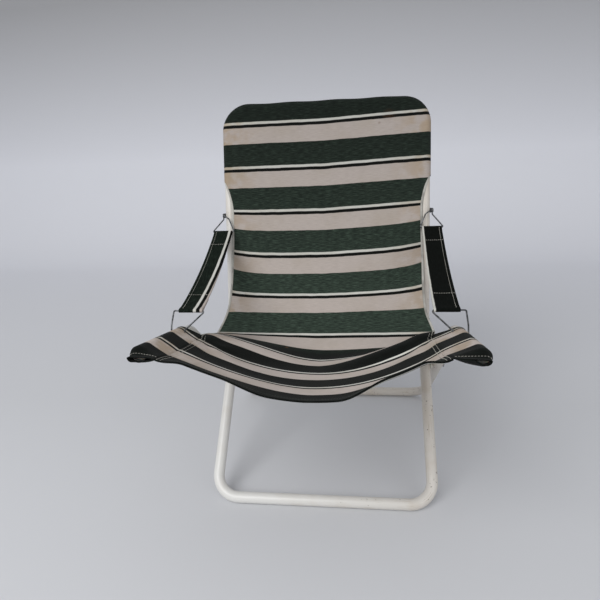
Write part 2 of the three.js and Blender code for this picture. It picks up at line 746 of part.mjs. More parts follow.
// A doubled strap that sags a little between the two bails, its hems looped round their bars
function armrestStrap(sign) {
  const hole = wireRadius + CLOTH.gap;
  const loop = hole + STRAP.hem_wall;
  const span = lowerBar.clone().sub(upperBar);
  const middle = along(upperBar.clone().add(lowerBar).multiplyScalar(0.5), heading(270), 2 * STRAP.sag);
  const centre = new THREE.QuadraticBezierCurve(upperBar, middle, lowerBar);
  const start = (hole + loop) / 2 / span.length();
  const edge = (side) => {
    const points = [];
    for (let k = 0; k <= STRAP_PANELS; k++) {
      const t = start + ((1 - 2 * start) * k) / STRAP_PANELS;
      const direction = centre.getTangent(t);
      const normal = new THREE.Vector2(-direction.y, direction.x);
      points.push(along(centre.getPoint(t), normal, (side * STRAP.thickness) / 2));
    }
    return points;
  };
  const solids = [extrudeAcross(new THREE.Shape([...edge(1), ...edge(-1).reverse()]))];
  for (const bar of [upperBar, lowerBar]) {
    const ring = new THREE.Shape(circlePoints(bar, loop));
    ring.holes.push(new THREE.Path(circlePoints(bar, hole)));
    solids.push(extrudeAcross(ring));
  }
  const geometry = joined(solids);
  const p = geometry.attributes.position;
  for (let i = 0; i < p.count; i++) {
    const t = (p.getY(i) - upperBar.x) / span.x;
    p.setX(i, p.getX(i) + THREE.MathUtils.lerp(upperBarCentre, strapLowCentre, t));
  }
  return mirrored(geometry, sign);
}

const strapLowCentre = lowerBarCentre - (LOWER_BAIL.bar_length - UPPER_BAIL.bar_length) / 4;

function circlePoints(centre, radius) {
  const points = [];
  for (let k = 0; k < ROUND_SIDES; k++) {
    points.push(along(centre, heading((k * 360) / ROUND_SIDES), radius));
  }
  return points;
}

// A side outline given as (y, z) drawn out across the strap's width
function extrudeAcross(shape) {
  const geometry = new THREE.ExtrudeGeometry(shape, { depth: STRAP.width, bevelEnabled: false });
  geometry.translate(0, 0, -STRAP.width / 2);
  geometry.rotateX(Math.PI / 2);
  geometry.rotateZ(Math.PI / 2);
  return geometry;
}

place("sling_back", slingBack(), GREEN_CANVAS);
place("sling_seat", slingSeat(), CREAM_CANVAS);
place("head_pocket", headPocket(), GREEN_CANVAS);
for (const { name, sign } of SIDES) {
  place(`arm_sleeve_${name}`, armSleeve(sign), GREEN_CANVAS);
  place(`armrest_strap_${name}`, armrestStrap(sign), GREEN_CANVAS);
}

// The origin is the middle of the footprint, on the floor
const extent = new THREE.Box3().setFromObject(chair);
chair.position.set(0, -(extent.min.y + extent.max.y) / 2, -extent.min.z);

export default chair;
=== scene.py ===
"""Folding sling lawn chair: the finished looks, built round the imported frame.

Sizes are in millimetres until a mesh is made. X runs across the chair, Y to its back and Z up, and left is
-X. Side profiles are (y, z) pairs, with y measured from the middle of the front floor bar.
"""
import logging
import math
from dataclasses import dataclass, field
from enum import Enum
from functools import cached_property
from typing import Any, Sequence

import bpy
import numpy as np
from bpy.types import Material, Mesh, Node, NodeSocket, NodeTree, Object
from mathutils import Matrix, Vector


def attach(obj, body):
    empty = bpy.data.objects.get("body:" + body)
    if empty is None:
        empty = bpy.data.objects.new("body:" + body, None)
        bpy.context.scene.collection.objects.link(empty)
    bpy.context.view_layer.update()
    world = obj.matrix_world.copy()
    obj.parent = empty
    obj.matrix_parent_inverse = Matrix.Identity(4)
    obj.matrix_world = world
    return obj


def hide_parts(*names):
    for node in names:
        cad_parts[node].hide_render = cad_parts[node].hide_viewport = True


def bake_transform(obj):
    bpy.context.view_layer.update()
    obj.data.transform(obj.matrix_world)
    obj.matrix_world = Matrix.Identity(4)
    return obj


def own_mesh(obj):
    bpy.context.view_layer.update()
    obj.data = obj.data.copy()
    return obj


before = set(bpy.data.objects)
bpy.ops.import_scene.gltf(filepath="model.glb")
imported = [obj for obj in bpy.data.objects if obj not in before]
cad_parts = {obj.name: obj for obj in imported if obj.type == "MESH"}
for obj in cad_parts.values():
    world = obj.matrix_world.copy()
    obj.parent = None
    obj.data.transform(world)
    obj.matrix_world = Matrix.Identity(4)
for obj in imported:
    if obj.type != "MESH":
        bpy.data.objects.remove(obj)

MM = 0.001
LOG = logging.getLogger("chair")
SHARP_DEGREES = 40.0
NEAR_ZERO = 1e-9
Array = np.ndarray


class Side(Enum):
    """The two sides of the chair, each with the sign of its X."""

    LEFT = -1
    RIGHT = 1

    @property
    def label(self) -> str:
        """The side's word in piece names."""
        return self.name.lower()


# Small helpers


def srgb(code: str) -> tuple[float, float, float, float]:
    """Turns a hex colour into linear light.

    Args:
        code: Six hex digits after a hash, in sRGB.

    Returns:
        Red, green, blue and alpha, linear.
    """
    parts = [int(code[i : i + 2], 16) / 255 for i in (1, 3, 5)]
    linear = [c / 12.92 if c <= 0.04045 else ((c + 0.055) / 1.055) ** 2.4 for c in parts]
    return (*linear, 1.0)


def ray(angle: float) -> Array:
    """The unit vector at an angle in radians."""
    return np.array([math.cos(angle), math.sin(angle)])


def heading(degrees: float) -> Array:
    """The unit (y, z) vector at an angle above the backward direction."""
    return ray(math.radians(degrees))


def unit(vectors: Array) -> Array:
    """Each vector at length one; the last axis holds a vector's parts."""
    return vectors / np.maximum(np.linalg.norm(vectors, axis=-1, keepdims=True), NEAR_ZERO)


def distances(points: Array) -> Array:
    """The distance along a line of points, from the first to each."""
    steps = np.linalg.norm(np.diff(points, axis=0), axis=1)
    return np.concatenate([[0.0], np.cumsum(steps)])


def smooth(share: Array | float) -> Array | float:
    """The smooth step of a share, from 0 to 1."""
    t = np.clip(share, 0.0, 1.0)
    return t * t * (3.0 - 2.0 * t)


def at(x: float, profile: Array) -> Array:
    """A space point from its X and its side profile point."""
    return np.array([x, profile[0], profile[1]])


@dataclass(frozen=True)
class Ramp:
    """A smooth rise from 0 to 1: the place where it starts and how far it goes on."""

    start: float
    length: float

    def __call__(self, place: Array | float) -> Array | float:
        """The share that is reached at a place."""
        return smooth((place - self.start) / self.length)


def add(tree: NodeTree, kind: str, inputs: dict[str | int, Any] | None = None, **settings: Any) -> Node:
    """Adds a node with its settings and links.

    Args:
        tree: The tree that takes the node.
        kind: The node's type name.
        inputs: Socket name or number to a value, a socket or a node whose first output is meant.
        **settings: Properties of the node.

    Returns:
        The new node.
    """
    node = tree.nodes.new(kind)
    for name, value in settings.items():
        setattr(node, name, value)
    for key, value in (inputs or {}).items():
        if isinstance(value, Node):
            value = value.outputs[0]
        if isinstance(value, NodeSocket):
            tree.links.new(value, node.inputs[key])
        else:
            node.inputs[key].default_value = value
    return node


# The side plan


@dataclass(frozen=True)
class SidePlan:
    """The chair's driving sizes and the points of its side profile that follow from them."""

    tube_radius: float = 12.0
    tube_wall: float = 1.2
    clearance: float = 0.3
    leg_half: float = 232.5
    seat_half: float = 262.0
    floor_bar_spacing: float = 482.0
    pivot_setback: float = 227.0
    pivot_height: float = 228.0
    back_height: float = 815.0
    rail_lean: float = 14.1
    back_bend_rise: float = 32.0
    seat_bend_rise: float = 250.0
    arm_rise: float = 12.7
    arm_length: float = 228.0
    corner_radius: float = 50.0
    frame_bend_radius: float = 70.0
    joint_rise: float = 90.0
    pocket_depth: float = 165.0
    pin_drop: float = 84.5
    pin_reach: float = 64.0
    origin_setback: float = 137.712

    @cached_property
    def front_bar(self) -> Array:
        """Middle of the front floor bar."""
        return np.array([0.0, self.tube_radius])

    @cached_property
    def rear_bar(self) -> Array:
        """Middle of the rear floor bar."""
        return np.array([self.floor_bar_spacing, self.tube_radius])

    @cached_property
    def pivot(self) -> Array:
        """The pivots on which the two frames cross."""
        return np.array([self.pivot_setback, self.pivot_height])

    @cached_property
    def back_bend(self) -> Array:
        """The bend from front leg to back rail."""
        return self.pivot + unit(self.pivot - self.front_bar) * self.back_bend_rise

    @cached_property
    def rail_up(self) -> Array:
        """Direction up the back rails."""
        return heading(90.0 - self.rail_lean)

    @cached_property
    def rail_front(self) -> Array:
        """Direction square out of the front of the back rails."""
        return np.array([-self.rail_up[1], self.rail_up[0]])

    @cached_property
    def head_bar(self) -> Array:
        """Middle of the head bar."""
        rise = (self.back_height - self.back_bend[1]) / self.rail_up[1]
        return self.back_bend + self.rail_up * rise

    @cached_property
    def joint(self) -> Array:
        """Where the upper hoop plugs into the lower one."""
        return self.back_bend + self.rail_up * self.joint_rise

    @cached_property
    def seat_bend(self) -> Array:
        """The bend from rear leg to seat arm."""
        return self.pivot + unit(self.pivot - self.rear_bar) * self.seat_bend_rise

    @cached_property
    def arm_front(self) -> Array:
        """Direction forward along the seat arms."""
        return heading(180.0 - self.arm_rise)

    @cached_property
    def arm_up(self) -> Array:
        """Direction square up from the seat arms."""
        return np.array([self.arm_front[1], -self.arm_front[0]])

    @cached_property
    def arm_end(self) -> Array:
        """Front end of the seat arms."""
        return self.seat_bend + self.arm_front * self.arm_length

    @cached_property
    def upper_pin(self) -> Array:
        """The pins that carry the upper bails."""
        return self.head_bar - self.rail_up * (self.pocket_depth + self.pin_drop)

    @cached_property
    def lower_pin(self) -> Array:
        """The pins that carry the lower bails."""
        return self.seat_bend + self.arm_front * self.pin_reach

    def arm_height(self, y: Array | float) -> Array | float:
        """Height of the seat arms' middle line at a place along the chair.

        Args:
            y: Distance behind the front floor bar.

        Returns:
            The height there.
        """
        slope = (self.seat_bend[1] - self.arm_end[1]) / (self.seat_bend[0] - self.arm_end[0])
        return self.arm_end[1] + (y - self.arm_end[0]) * slope

    def row(self, points: Array) -> Array:
        """Plan millimetres turned to metres in the row frame."""
        return (np.asarray(points, float) - np.array([0.0, self.origin_setback, 0.0])) * MM


PLAN = SidePlan()


def rounded_route(corners: Sequence[Array], radii: Sequence[float], step_degrees: float) -> Array:
    """A route of straights whose corners are bent to round bends.

    Args:
        corners: The corner points.
        radii: The bend radius at each corner; the ends' are not used.
        step_degrees: The most that the route turns between two points.

    Returns:
        The route's points.
    """
    points = [corners[0]]
    for before, corner, after, radius in zip(corners, corners[1:], corners[2:], radii[1:]):
        came, goes = unit(corner - before), unit(after - corner)
        turn = math.acos(max(-1.0, min(1.0, float(came @ goes))))
        start = corner - came * radius * math.tan(turn / 2)
        inward = unit(goes - came * float(came @ goes))
        centre = start + inward * radius
        count = max(2, math.ceil(math.degrees(turn) / step_degrees))
        for k in range(count + 1):
            angle = turn * k / count
            points.append(centre + came * radius * math.sin(angle) - inward * radius * math.cos(angle))
    points.append(corners[-1])
    return np.array(points)


# Meshes and trees


def in_scene(name: str, data: Any) -> Object:
    """Puts an object of new data into the scene.

    Args:
        name: The object's name.
        data: Its mesh, lamp or camera.

    Returns:
        The object.
    """
    obj = bpy.data.objects.new(name, data)
    bpy.context.scene.collection.objects.link(obj)
    return obj


def mesh_object(
    name: str, points: Array, faces: Sequence[Sequence[int]], corner_uv: Array | None = None
) -> Object:
    """Makes an object of plan points and faces.

    Args:
        name: The piece's name.
        points: Points in plan millimetres.
        faces: Corner numbers of each face.
        corner_uv: Metres across and along the cloth, for each face corner in turn.

    Returns:
        The object, smooth, at the origin.
    """
    mesh = bpy.data.meshes.new(name)
    mesh.from_pydata(PLAN.row(points).tolist(), [], [list(f) for f in faces])
    mesh.polygons.foreach_set("use_smooth", [True] * len(mesh.polygons))
    if corner_uv is not None:
        layer = mesh.uv_layers.new(name="canvas")
        layer.data.foreach_set("uv", np.asarray(corner_uv, np.float32).ravel())
    return in_scene(name, mesh)


def grid_object(name: str, points: Array, uv: Array, ring: bool = False) -> Object:
    """Makes a cloth object from rows of points.

    Args:
        name: The piece's name.
        points: Rows by columns by XYZ, in plan millimetres.
        uv: Rows by columns by (across, along), in millimetres of flat cloth. A ring has one column more.
        ring: Whether each row closes on itself.

    Returns:
        The object with its canvas UV map.
    """
    rows, columns = points.shape[:2]
    faces, corner_uv = [], []
    for j in range(rows - 1):
        for i in range(columns if ring else columns - 1):
            n = (i + 1) % columns
            faces.append((j * columns + i, j * columns + n, (j + 1) * columns + n, (j + 1) * columns + i))
            corner_uv += [uv[j, i], uv[j, i + 1], uv[j + 1, i + 1], uv[j + 1, i]]
    return mesh_object(name, points.reshape(-1, 3), faces, np.array(corner_uv) * MM)


def route_mesh(name: str, routes: Sequence[Array], girths: Sequence[Array | float] | None = None) -> Mesh:
    """A mesh of edges only, that a tree makes into tubes, turned pieces or rows of stitches.

    Args:
        name: The mesh's name.
        routes: The points of each route, in plan millimetres.
        girths: The radius at each point of each route, in millimetres, or one for the route.

    Returns:
        The mesh, with a girth attribute in metres where girths are given.
    """
    mesh = bpy.data.meshes.new(name)
    points, edges, radii = [], [], []
    for k, route in enumerate(routes):
        edges += [(len(points) + i, len(points) + i + 1) for i in range(len(route) - 1)]
        points += PLAN.row(route).tolist()
        if girths is not None:
            radii += (np.ones(len(route)) * girths[k] * MM).tolist()
    mesh.from_pydata(points, edges, [])
    if girths is not None:
        mesh.attributes.new("girth", "FLOAT", "POINT").data.foreach_set("value", radii)
    return mesh


def new_tree(name: str, sockets: dict[str, str]) -> tuple[NodeTree, Node]:
    """Starts a geometry tree.

    Args:
        name: The tree's name.
        sockets: Name to socket type of each input after the geometry.

    Returns:
        The tree and its group input.
    """
    tree = bpy.data.node_groups.new(name, "GeometryNodeTree")
    tree.interface.new_socket("Geometry", in_out="INPUT", socket_type="NodeSocketGeometry")
    tree.interface.new_socket("Geometry", in_out="OUTPUT", socket_type="NodeSocketGeometry")
    for label, kind in sockets.items():
        tree.interface.new_socket(label, in_out="INPUT", socket_type=kind)
    return tree, add(tree, "NodeGroupInput")


def end_tree(tree: NodeTree, geometry: Any, material: Any) -> None:
    """Ends a tree in Realize Instances and Set Material.

    Args:
        tree: The tree to end.
        geometry: The node or socket that gives the geometry.
        material: The socket that gives the material.
    """
    real = add(tree, "GeometryNodeRealizeInstances", {"Geometry": geometry})
    dressed = add(tree, "GeometryNodeSetMaterial", {"Geometry": real, "Material": material})
    add(tree, "NodeGroupOutput", {0: dressed})


def swept_round_tree() -> NodeTree:
    """The tree that makes round stock of each route: tube, wire, rivet or binding.

    Returns:
        A tree that reads girth and writes along and section, by which a finish follows the stock.
    """
    tree, given = new_tree("swept_round", {"Facets": "NodeSocketInt", "Material": "NodeSocketMaterial"})
    line = add(tree, "GeometryNodeMeshToCurve", {"Mesh": given.outputs["Geometry"]})
    length = add(tree, "GeometryNodeSplineParameter").outputs["Length"]
    lengthwise = {"Geometry": line, "Name": "along", "Value": length}
    placed = add(tree, "GeometryNodeStoreNamedAttribute", lengthwise, data_type="FLOAT")
    girth = add(tree, "GeometryNodeInputNamedAttribute", {"Name": "girth"}, data_type="FLOAT")
    facets = given.outputs["Facets"]
    circle = add(tree, "GeometryNodeCurvePrimitiveCircle", {"Resolution": facets, "Radius": 1.0})
    spot = add(tree, "GeometryNodeInputPosition")
    rounded = {"Geometry": circle.outputs["Curve"], "Name": "section", "Value": spot}
    section = add(tree, "GeometryNodeStoreNamedAttribute", rounded, data_type="FLOAT_VECTOR")
    scale = girth.outputs["Attribute"]
    sweep = {"Curve": placed, "Profile Curve": section, "Scale": scale, "Fill Caps": True}
    end_tree(tree, add(tree, "GeometryNodeCurveToMesh", sweep), given.outputs["Material"])
    return tree


def stitch_tree() -> NodeTree:
    """The tree that lays stitches along each route.

    Returns:
        A tree with the stitch pitch, length, thickness and seed as named inputs.
    """
    sockets = {"Pitch": "NodeSocketFloat", "Length": "NodeSocketFloat", "Thread": "NodeSocketFloat"}
    tree, given = new_tree("stitches", {**sockets, "Seed": "NodeSocketInt", "Material": "NodeSocketMaterial"})
    line = add(tree, "GeometryNodeMeshToCurve", {"Mesh": given.outputs["Geometry"]})
    pitch = given.outputs["Pitch"]
    spaced = add(tree, "GeometryNodeResampleCurve", {"Curve": line, "Length": pitch}, mode="LENGTH")
    bead = add(tree, "GeometryNodeMeshUVSphere", {"Segments": 6, "Rings": 4, "Radius": 0.5})
    length, thread = given.outputs["Length"], given.outputs["Thread"]
    size = add(tree, "ShaderNodeCombineXYZ", {0: length, 1: thread, 2: thread})
    shaped = add(tree, "GeometryNodeTransform", {"Geometry": bead.outputs["Mesh"], "Scale": size})
    tangent = add(tree, "GeometryNodeInputTangent")
    facing = add(tree, "FunctionNodeAlignRotationToVector", {"Vector": tangent}, axis="X")
    limits = {"Min": (0.86, 0.9, 0.9), "Max": (1.1, 1.1, 1.1), "Seed": given.outputs["Seed"]}
    uneven = add(tree, "FunctionNodeRandomValue", limits, data_type="FLOAT_VECTOR")
    laying = {"Points": spaced, "Instance": shaped, "Rotation": facing, "Scale": uneven}
    laid = add(tree, "GeometryNodeInstanceOnPoints", laying)
    beads = add(tree, "GeometryNodeRealizeInstances", {0: laid})
    end_tree(tree, add(tree, "GeometryNodeSetShadeSmooth", {0: beads}), given.outputs["Material"])
    return tree


def grown(name: str, source: Mesh, tree: NodeTree, sharp: float = SHARP_DEGREES, **values: Any) -> Object:
    """Runs a tree on a source mesh and keeps the result as a plain mesh.

    Args:
        name: The piece's name.
        source: The mesh that the tree starts from.
        tree: The geometry tree.
        sharp: Edges that turn more than this many degrees stay sharp.
        **values: The tree's inputs by name.

    Returns:
        The object, with no modifier left on it.
    """
    obj = in_scene(name, source)
    modifier = obj.modifiers.new("shape", "NODES")
    modifier.node_group = tree
    for item in tree.interface.items_tree:
        if item.item_type == "SOCKET" and item.in_out == "INPUT" and item.name in values:
            modifier[item.identifier] = values[item.name]
    graph = bpy.context.evaluated_depsgraph_get()
    shaped = obj.evaluated_get(graph)
    mesh = bpy.data.meshes.new_from_object(shaped, preserve_all_data_layers=True, depsgraph=graph)
    obj.modifiers.clear()
    obj.data = mesh
    mesh.name = name
    mesh.polygons.foreach_set("use_smooth", [True] * len(mesh.polygons))
    mesh.set_sharp_from_angle(angle=math.radians(sharp))
    return obj


def thicken(obj: Object, thickness: float) -> None:
    """Gives a cloth its thickness, evenly about its surface.

    Args:
        obj: The cloth.
        thickness: Its thickness in millimetres.
    """
    modifier = obj.modifiers.new("cloth thickness", "SOLIDIFY")
    modifier.thickness = thickness * MM
    modifier.offset = 0.0


# Finishes


def new_material(name: str) -> tuple[Material, NodeTree]:
    """Starts a material.

    Args:
        name: The material's name.

    Returns:
        The material and its empty tree.
    """
    material = bpy.data.materials.new(name)
    material.use_nodes = True
    material.node_tree.nodes.clear()
    return material, material.node_tree


def end_material(tree: NodeTree, sockets: dict[str, Any]) -> None:
    """Ends a material's tree in its shader.

    Args:
        tree: The material's tree.
        sockets: Name of each of the shader's sockets to a value, a socket or a node.
    """
    shader = add(tree, "ShaderNodeBsdfPrincipled", sockets)
    add(tree, "ShaderNodeOutputMaterial", {"Surface": shader})


def layered(tree: NodeTree, colour: Any, *layers: tuple[Any, str, float]) -> Any:
    """Lays colours over a colour.

    Args:
        tree: The material's tree.
        colour: The lowest colour, or the socket that gives it.
        *layers: The mask of each colour, its hex code and how much of the mask counts.

    Returns:
        The socket with the mixed colour.
    """
    for mask, code, weight in layers:
        share = add(tree, "ShaderNodeMath", {0: mask, 1: weight}, operation="MULTIPLY")
        mix = add(tree, "ShaderNodeMix", {0: share, 6: colour, 7: srgb(code)}, data_type="RGBA")
        colour = mix.outputs[2]
    return colour


@dataclass(frozen=True)
class Patches:
    """Soft patches: their size, the noise values where they begin and are full, and their edges' detail."""

    size_mm: float
    begins: float
    full: float
    detail: float = 3.0

    def mask(self, tree: NodeTree, place: Any, within: Any = 1.0) -> Node:
        """A mask of the patches.

        Args:
            tree: The material's tree.
            place: The socket or node that gives the place in metres.
            within: A mask that holds the patches in.

        Returns:
            A node that gives 0 to 1.
        """
        scale = 1.0 / (self.size_mm * MM)
        noise = add(tree, "ShaderNodeTexNoise", {"Vector": place, "Scale": scale, "Detail": self.detail})
        limits = {"Value": noise, "From Min": self.begins, "From Max": self.full}
        patches = add(tree, "ShaderNodeMapRange", limits, interpolation_type="SMOOTHSTEP")
        return add(tree, "ShaderNodeMath", {0: patches, 1: within}, operation="MULTIPLY")


@dataclass(frozen=True)
class Grain:
    """A fine relief: the size of its grains, how deep it is, how strongly it shows and how broken it is."""

    size_mm: float
    depth_mm: float
    strength: float
    detail: float = 1.0

    def bump(self, tree: NodeTree, place: Any) -> Node:
        """The relief on a surface.

        Args:
            tree: The material's tree.
            place: The socket or node that gives the place in metres.

        Returns:
            A node that gives the normal.
        """
        scale = 1.0 / (self.size_mm * MM)
        noise = add(tree, "ShaderNodeTexNoise", {"Vector": place, "Scale": scale, "Detail": self.detail})
        relief = {"Height": noise, "Strength": self.strength, "Distance": self.depth_mm * MM}
        return add(tree, "ShaderNodeBump", relief)


@dataclass(frozen=True)
class EnamelPaint:
    """White enamel sprayed on mild steel tube: a soft gloss over a faint orange peel, yellowed in patches,
    with scuffs that run along the tube and small chips down to brown primer and steel."""

    white: str = "#DCDBD7"
    yellowed_and_shaded: str = "#C3B8AA"
    scuffed: str = "#A89A84"
    chipped: str = "#5E5046"
    roughness: float = 0.36
    scuff_roughness: float = 0.3
    coat: float = 0.15
    coat_roughness: float = 0.2
    # The paint is painted darker and browner towards the rear right, as painted shade of the chair's shaded
    # side,
    #     # and is worn most there; the change runs where X and Y together pass these metres.
    lit_and_fresh_to: float = -0.25
    shaded_and_worn_from: float = 0.25
    age: Patches = Patches(70.0, 0.48, 0.72)
    wear: Patches = Patches(55.0, 0.4, 0.55)
    scuffs: Patches = Patches(2.42, 0.58, 0.68, 2.0)
    scuff_stretch: float = 26.0 / 1.1
    chips: Patches = Patches(6.0, 0.66, 0.69, 4.0)
    peel_mm: float = 1.8
    peel_share: float = 0.05
    relief_mm: float = 0.12
    relief_strength: float = 0.35

    def material(self) -> Material:
        """Makes the material.

        Returns:
            A material that follows the tube by its along and section attributes.
        """
        material, tree = new_material("enamel_painted_steel")
        along = add(tree, "ShaderNodeAttribute", attribute_name="along").outputs["Fac"]
        section = add(tree, "ShaderNodeAttribute", attribute_name="section").outputs["Vector"]
        ring = {0: section, "Scale": PLAN.tube_radius * MM}
        girth = add(tree, "ShaderNodeVectorMath", ring, operation="SCALE")
        x, y, _ = add(tree, "ShaderNodeSeparateXYZ", {0: girth}).outputs
        place = add(tree, "ShaderNodeCombineXYZ", {0: x, 1: y, 2: along})
        drawn = add(tree, "ShaderNodeMath", {0: along, 1: self.scuff_stretch}, operation="DIVIDE")
        streaked = add(tree, "ShaderNodeCombineXYZ", {0: x, 1: y, 2: drawn})
        spot = add(tree, "ShaderNodeTexCoord").outputs["Object"]
        x, y, _ = add(tree, "ShaderNodeSeparateXYZ", {0: spot}).outputs
        rearward = add(tree, "ShaderNodeMath", {0: x, 1: y}, operation="ADD")
        # Towards the rear right: painted shade, and more wear.
        shade_and_wear = add(tree, "ShaderNodeMapRange", {0: rearward, 1: self.lit_and_fresh_to, 2: self.shaded_and_worn_from})
        half_shade_and_wear = add(tree, "ShaderNodeMath", {0: shade_and_wear, 1: 0.9, 2: 0.5}, operation="MULTIPLY_ADD")
        worn = self.wear.mask(tree, place, shade_and_wear)
        aged = self.age.mask(tree, place, half_shade_and_wear)
        scuffed = self.scuffs.mask(tree, streaked, worn)
        chipped = self.chips.mask(tree, place, worn)
        colour = layered(
            tree,
            srgb(self.white),
            # Painted shade: the rear right tinted darker and browner.
            (shade_and_wear, self.yellowed_and_shaded, 0.6),
            (aged, self.yellowed_and_shaded, 0.55),
            (scuffed, self.scuffed, 0.6),
            (chipped, self.chipped, 1.0),
        )
        gloss = {0: scuffed, 1: self.scuff_roughness, 2: self.roughness}
        scale = 1.0 / (self.peel_mm * MM)
        peel = add(tree, "ShaderNodeTexNoise", {"Vector": place, "Scale": scale, "Detail": 1.0})
        peeled = add(tree, "ShaderNodeMath", {0: peel, 1: self.peel_share}, operation="MULTIPLY")
        relief = add(tree, "ShaderNodeMath", {0: peeled, 1: chipped}, operation="SUBTRACT")
        raised = {"Height": relief, "Strength": self.relief_strength, "Distance": self.relief_mm * MM}
        sockets = {
            "Base Color": colour,
            "Roughness": add(tree, "ShaderNodeMath", gloss, operation="MULTIPLY_ADD"),
            "Specular IOR Level": 0.5,
            "Coat Weight": self.coat,
            "Coat Roughness": self.coat_roughness,
            "Normal": add(tree, "ShaderNodeBump", raised),
        }
        end_material(tree, sockets)
        return material


@dataclass(frozen=True)
class PlainMetal:
    """Zinc-plated or oil-darkened steel: metallic, with dull patches and fine draw lines or handling marks.

    The second colour is that of the patches and the third that of the rust.
    """

    name: str
    bright: str
    dull: str
    rust: str
    roughness: float
    rust_from: float = 0.66
    dull_roughness: float = 0.18
    rust_cover: float = 0.8
    dulled: Patches = Patches(6.0, 0.4, 0.66)
    marks: Grain = Grain(0.7, 0.05, 0.25, 2.0)

    def material(self) -> Material:
        """Makes the material.

        Returns:
            A metal material that reads Object coordinates.
        """
        material, tree = new_material(self.name)
        place = add(tree, "ShaderNodeTexCoord").outputs["Object"]
        patches = self.dulled.mask(tree, place)
        rusted = Patches(3.5, self.rust_from, self.rust_from + 0.07, 5.0).mask(tree, place)
        colour = layered(tree, srgb(self.bright), (patches, self.dull, 1.0), (rusted, self.rust, 1.0))
        metal = {0: rusted, 1: -self.rust_cover, 2: 1.0}
        rough = {0: patches, 1: self.dull_roughness, 2: self.roughness}
        sockets = {
            "Base Color": colour,
            "Metallic": add(tree, "ShaderNodeMath", metal, operation="MULTIPLY_ADD"),
            "Roughness": add(tree, "ShaderNodeMath", rough, operation="MULTIPLY_ADD"),
            "Normal": self.marks.bump(tree, place),
        }
        end_material(tree, sockets)
        return material


@dataclass(frozen=True)
class MouldedNylon:
    """White moulded nylon, a little milky, with a faint matt texture and grime in its patches."""

    white: str = "#D8D5CB"
    grimed: str = "#B7AE9B"
    roughness: float = 0.52
    milkiness: float = 0.1
    milky_mm: float = 1.5
    grime: Patches = Patches(7.0, 0.45, 0.7)
    texture: Grain = Grain(0.5, 0.04, 0.2)

    def material(self) -> Material:
        """Makes the material.

        Returns:
            A plastic material that reads Object coordinates.
        """
        material, tree = new_material("moulded_nylon")
        place = add(tree, "ShaderNodeTexCoord").outputs["Object"]
        sockets = {
            "Base Color": layered(tree, srgb(self.white), (self.grime.mask(tree, place), self.grimed, 1.0)),
            "Roughness": self.roughness,
            "Subsurface Weight": self.milkiness,
            "Subsurface Scale": self.milky_mm * MM,
            "Normal": self.texture.bump(tree, place),
        }
        end_material(tree, sockets)
        return material


@dataclass(frozen=True)
class Stripe:
    """One colour of the woven stripe and the share of the repeat at which it starts."""

    starts: float
    colour: str


@dataclass(frozen=True)
class Stain:
    """One ragged stain: its place on the flat cloth and its radius in millimetres, and how much it covers."""

    across: float
    along: float
    radius: float
    cover: float
    rag_mm: float = 9.0

    def mask(self, tree: NodeTree, flat: Node) -> Node:
        """A mask of the stain.

        Args:
            tree: The material's tree.
            flat: The node that gives the place on the flat cloth.

        Returns:
            A node that gives 0 to the stain's cover.
        """
        scale = 1.0 / (self.rag_mm * MM)
        ragged = add(tree, "ShaderNodeTexNoise", {"Vector": flat, "Scale": scale, "Detail": 4.0})
        middle = {0: flat, 1: (self.across * MM, self.along * MM, 0.0)}
        away = add(tree, "ShaderNodeVectorMath", middle, operation="DISTANCE").outputs["Value"]
        radius = self.radius * MM
        reach = add(tree, "ShaderNodeMath", {0: ragged, 1: radius, 2: away}, operation="MULTIPLY_ADD")
        limits = {"Value": reach, "From Min": radius * 1.5, "From Max": radius * 0.6, "To Max": self.cover}
        return add(tree, "ShaderNodeMapRange", limits)


REPEAT_MM = 103.6
FIRST_MM = 0.3
CANVAS_REPEAT = (
    Stripe(0.0, "#1B221D"),
    Stripe(0.505, "#C9C8C1"),
    Stripe(0.561, "#0E100E"),
    Stripe(0.632, "#B5ABA4"),
)


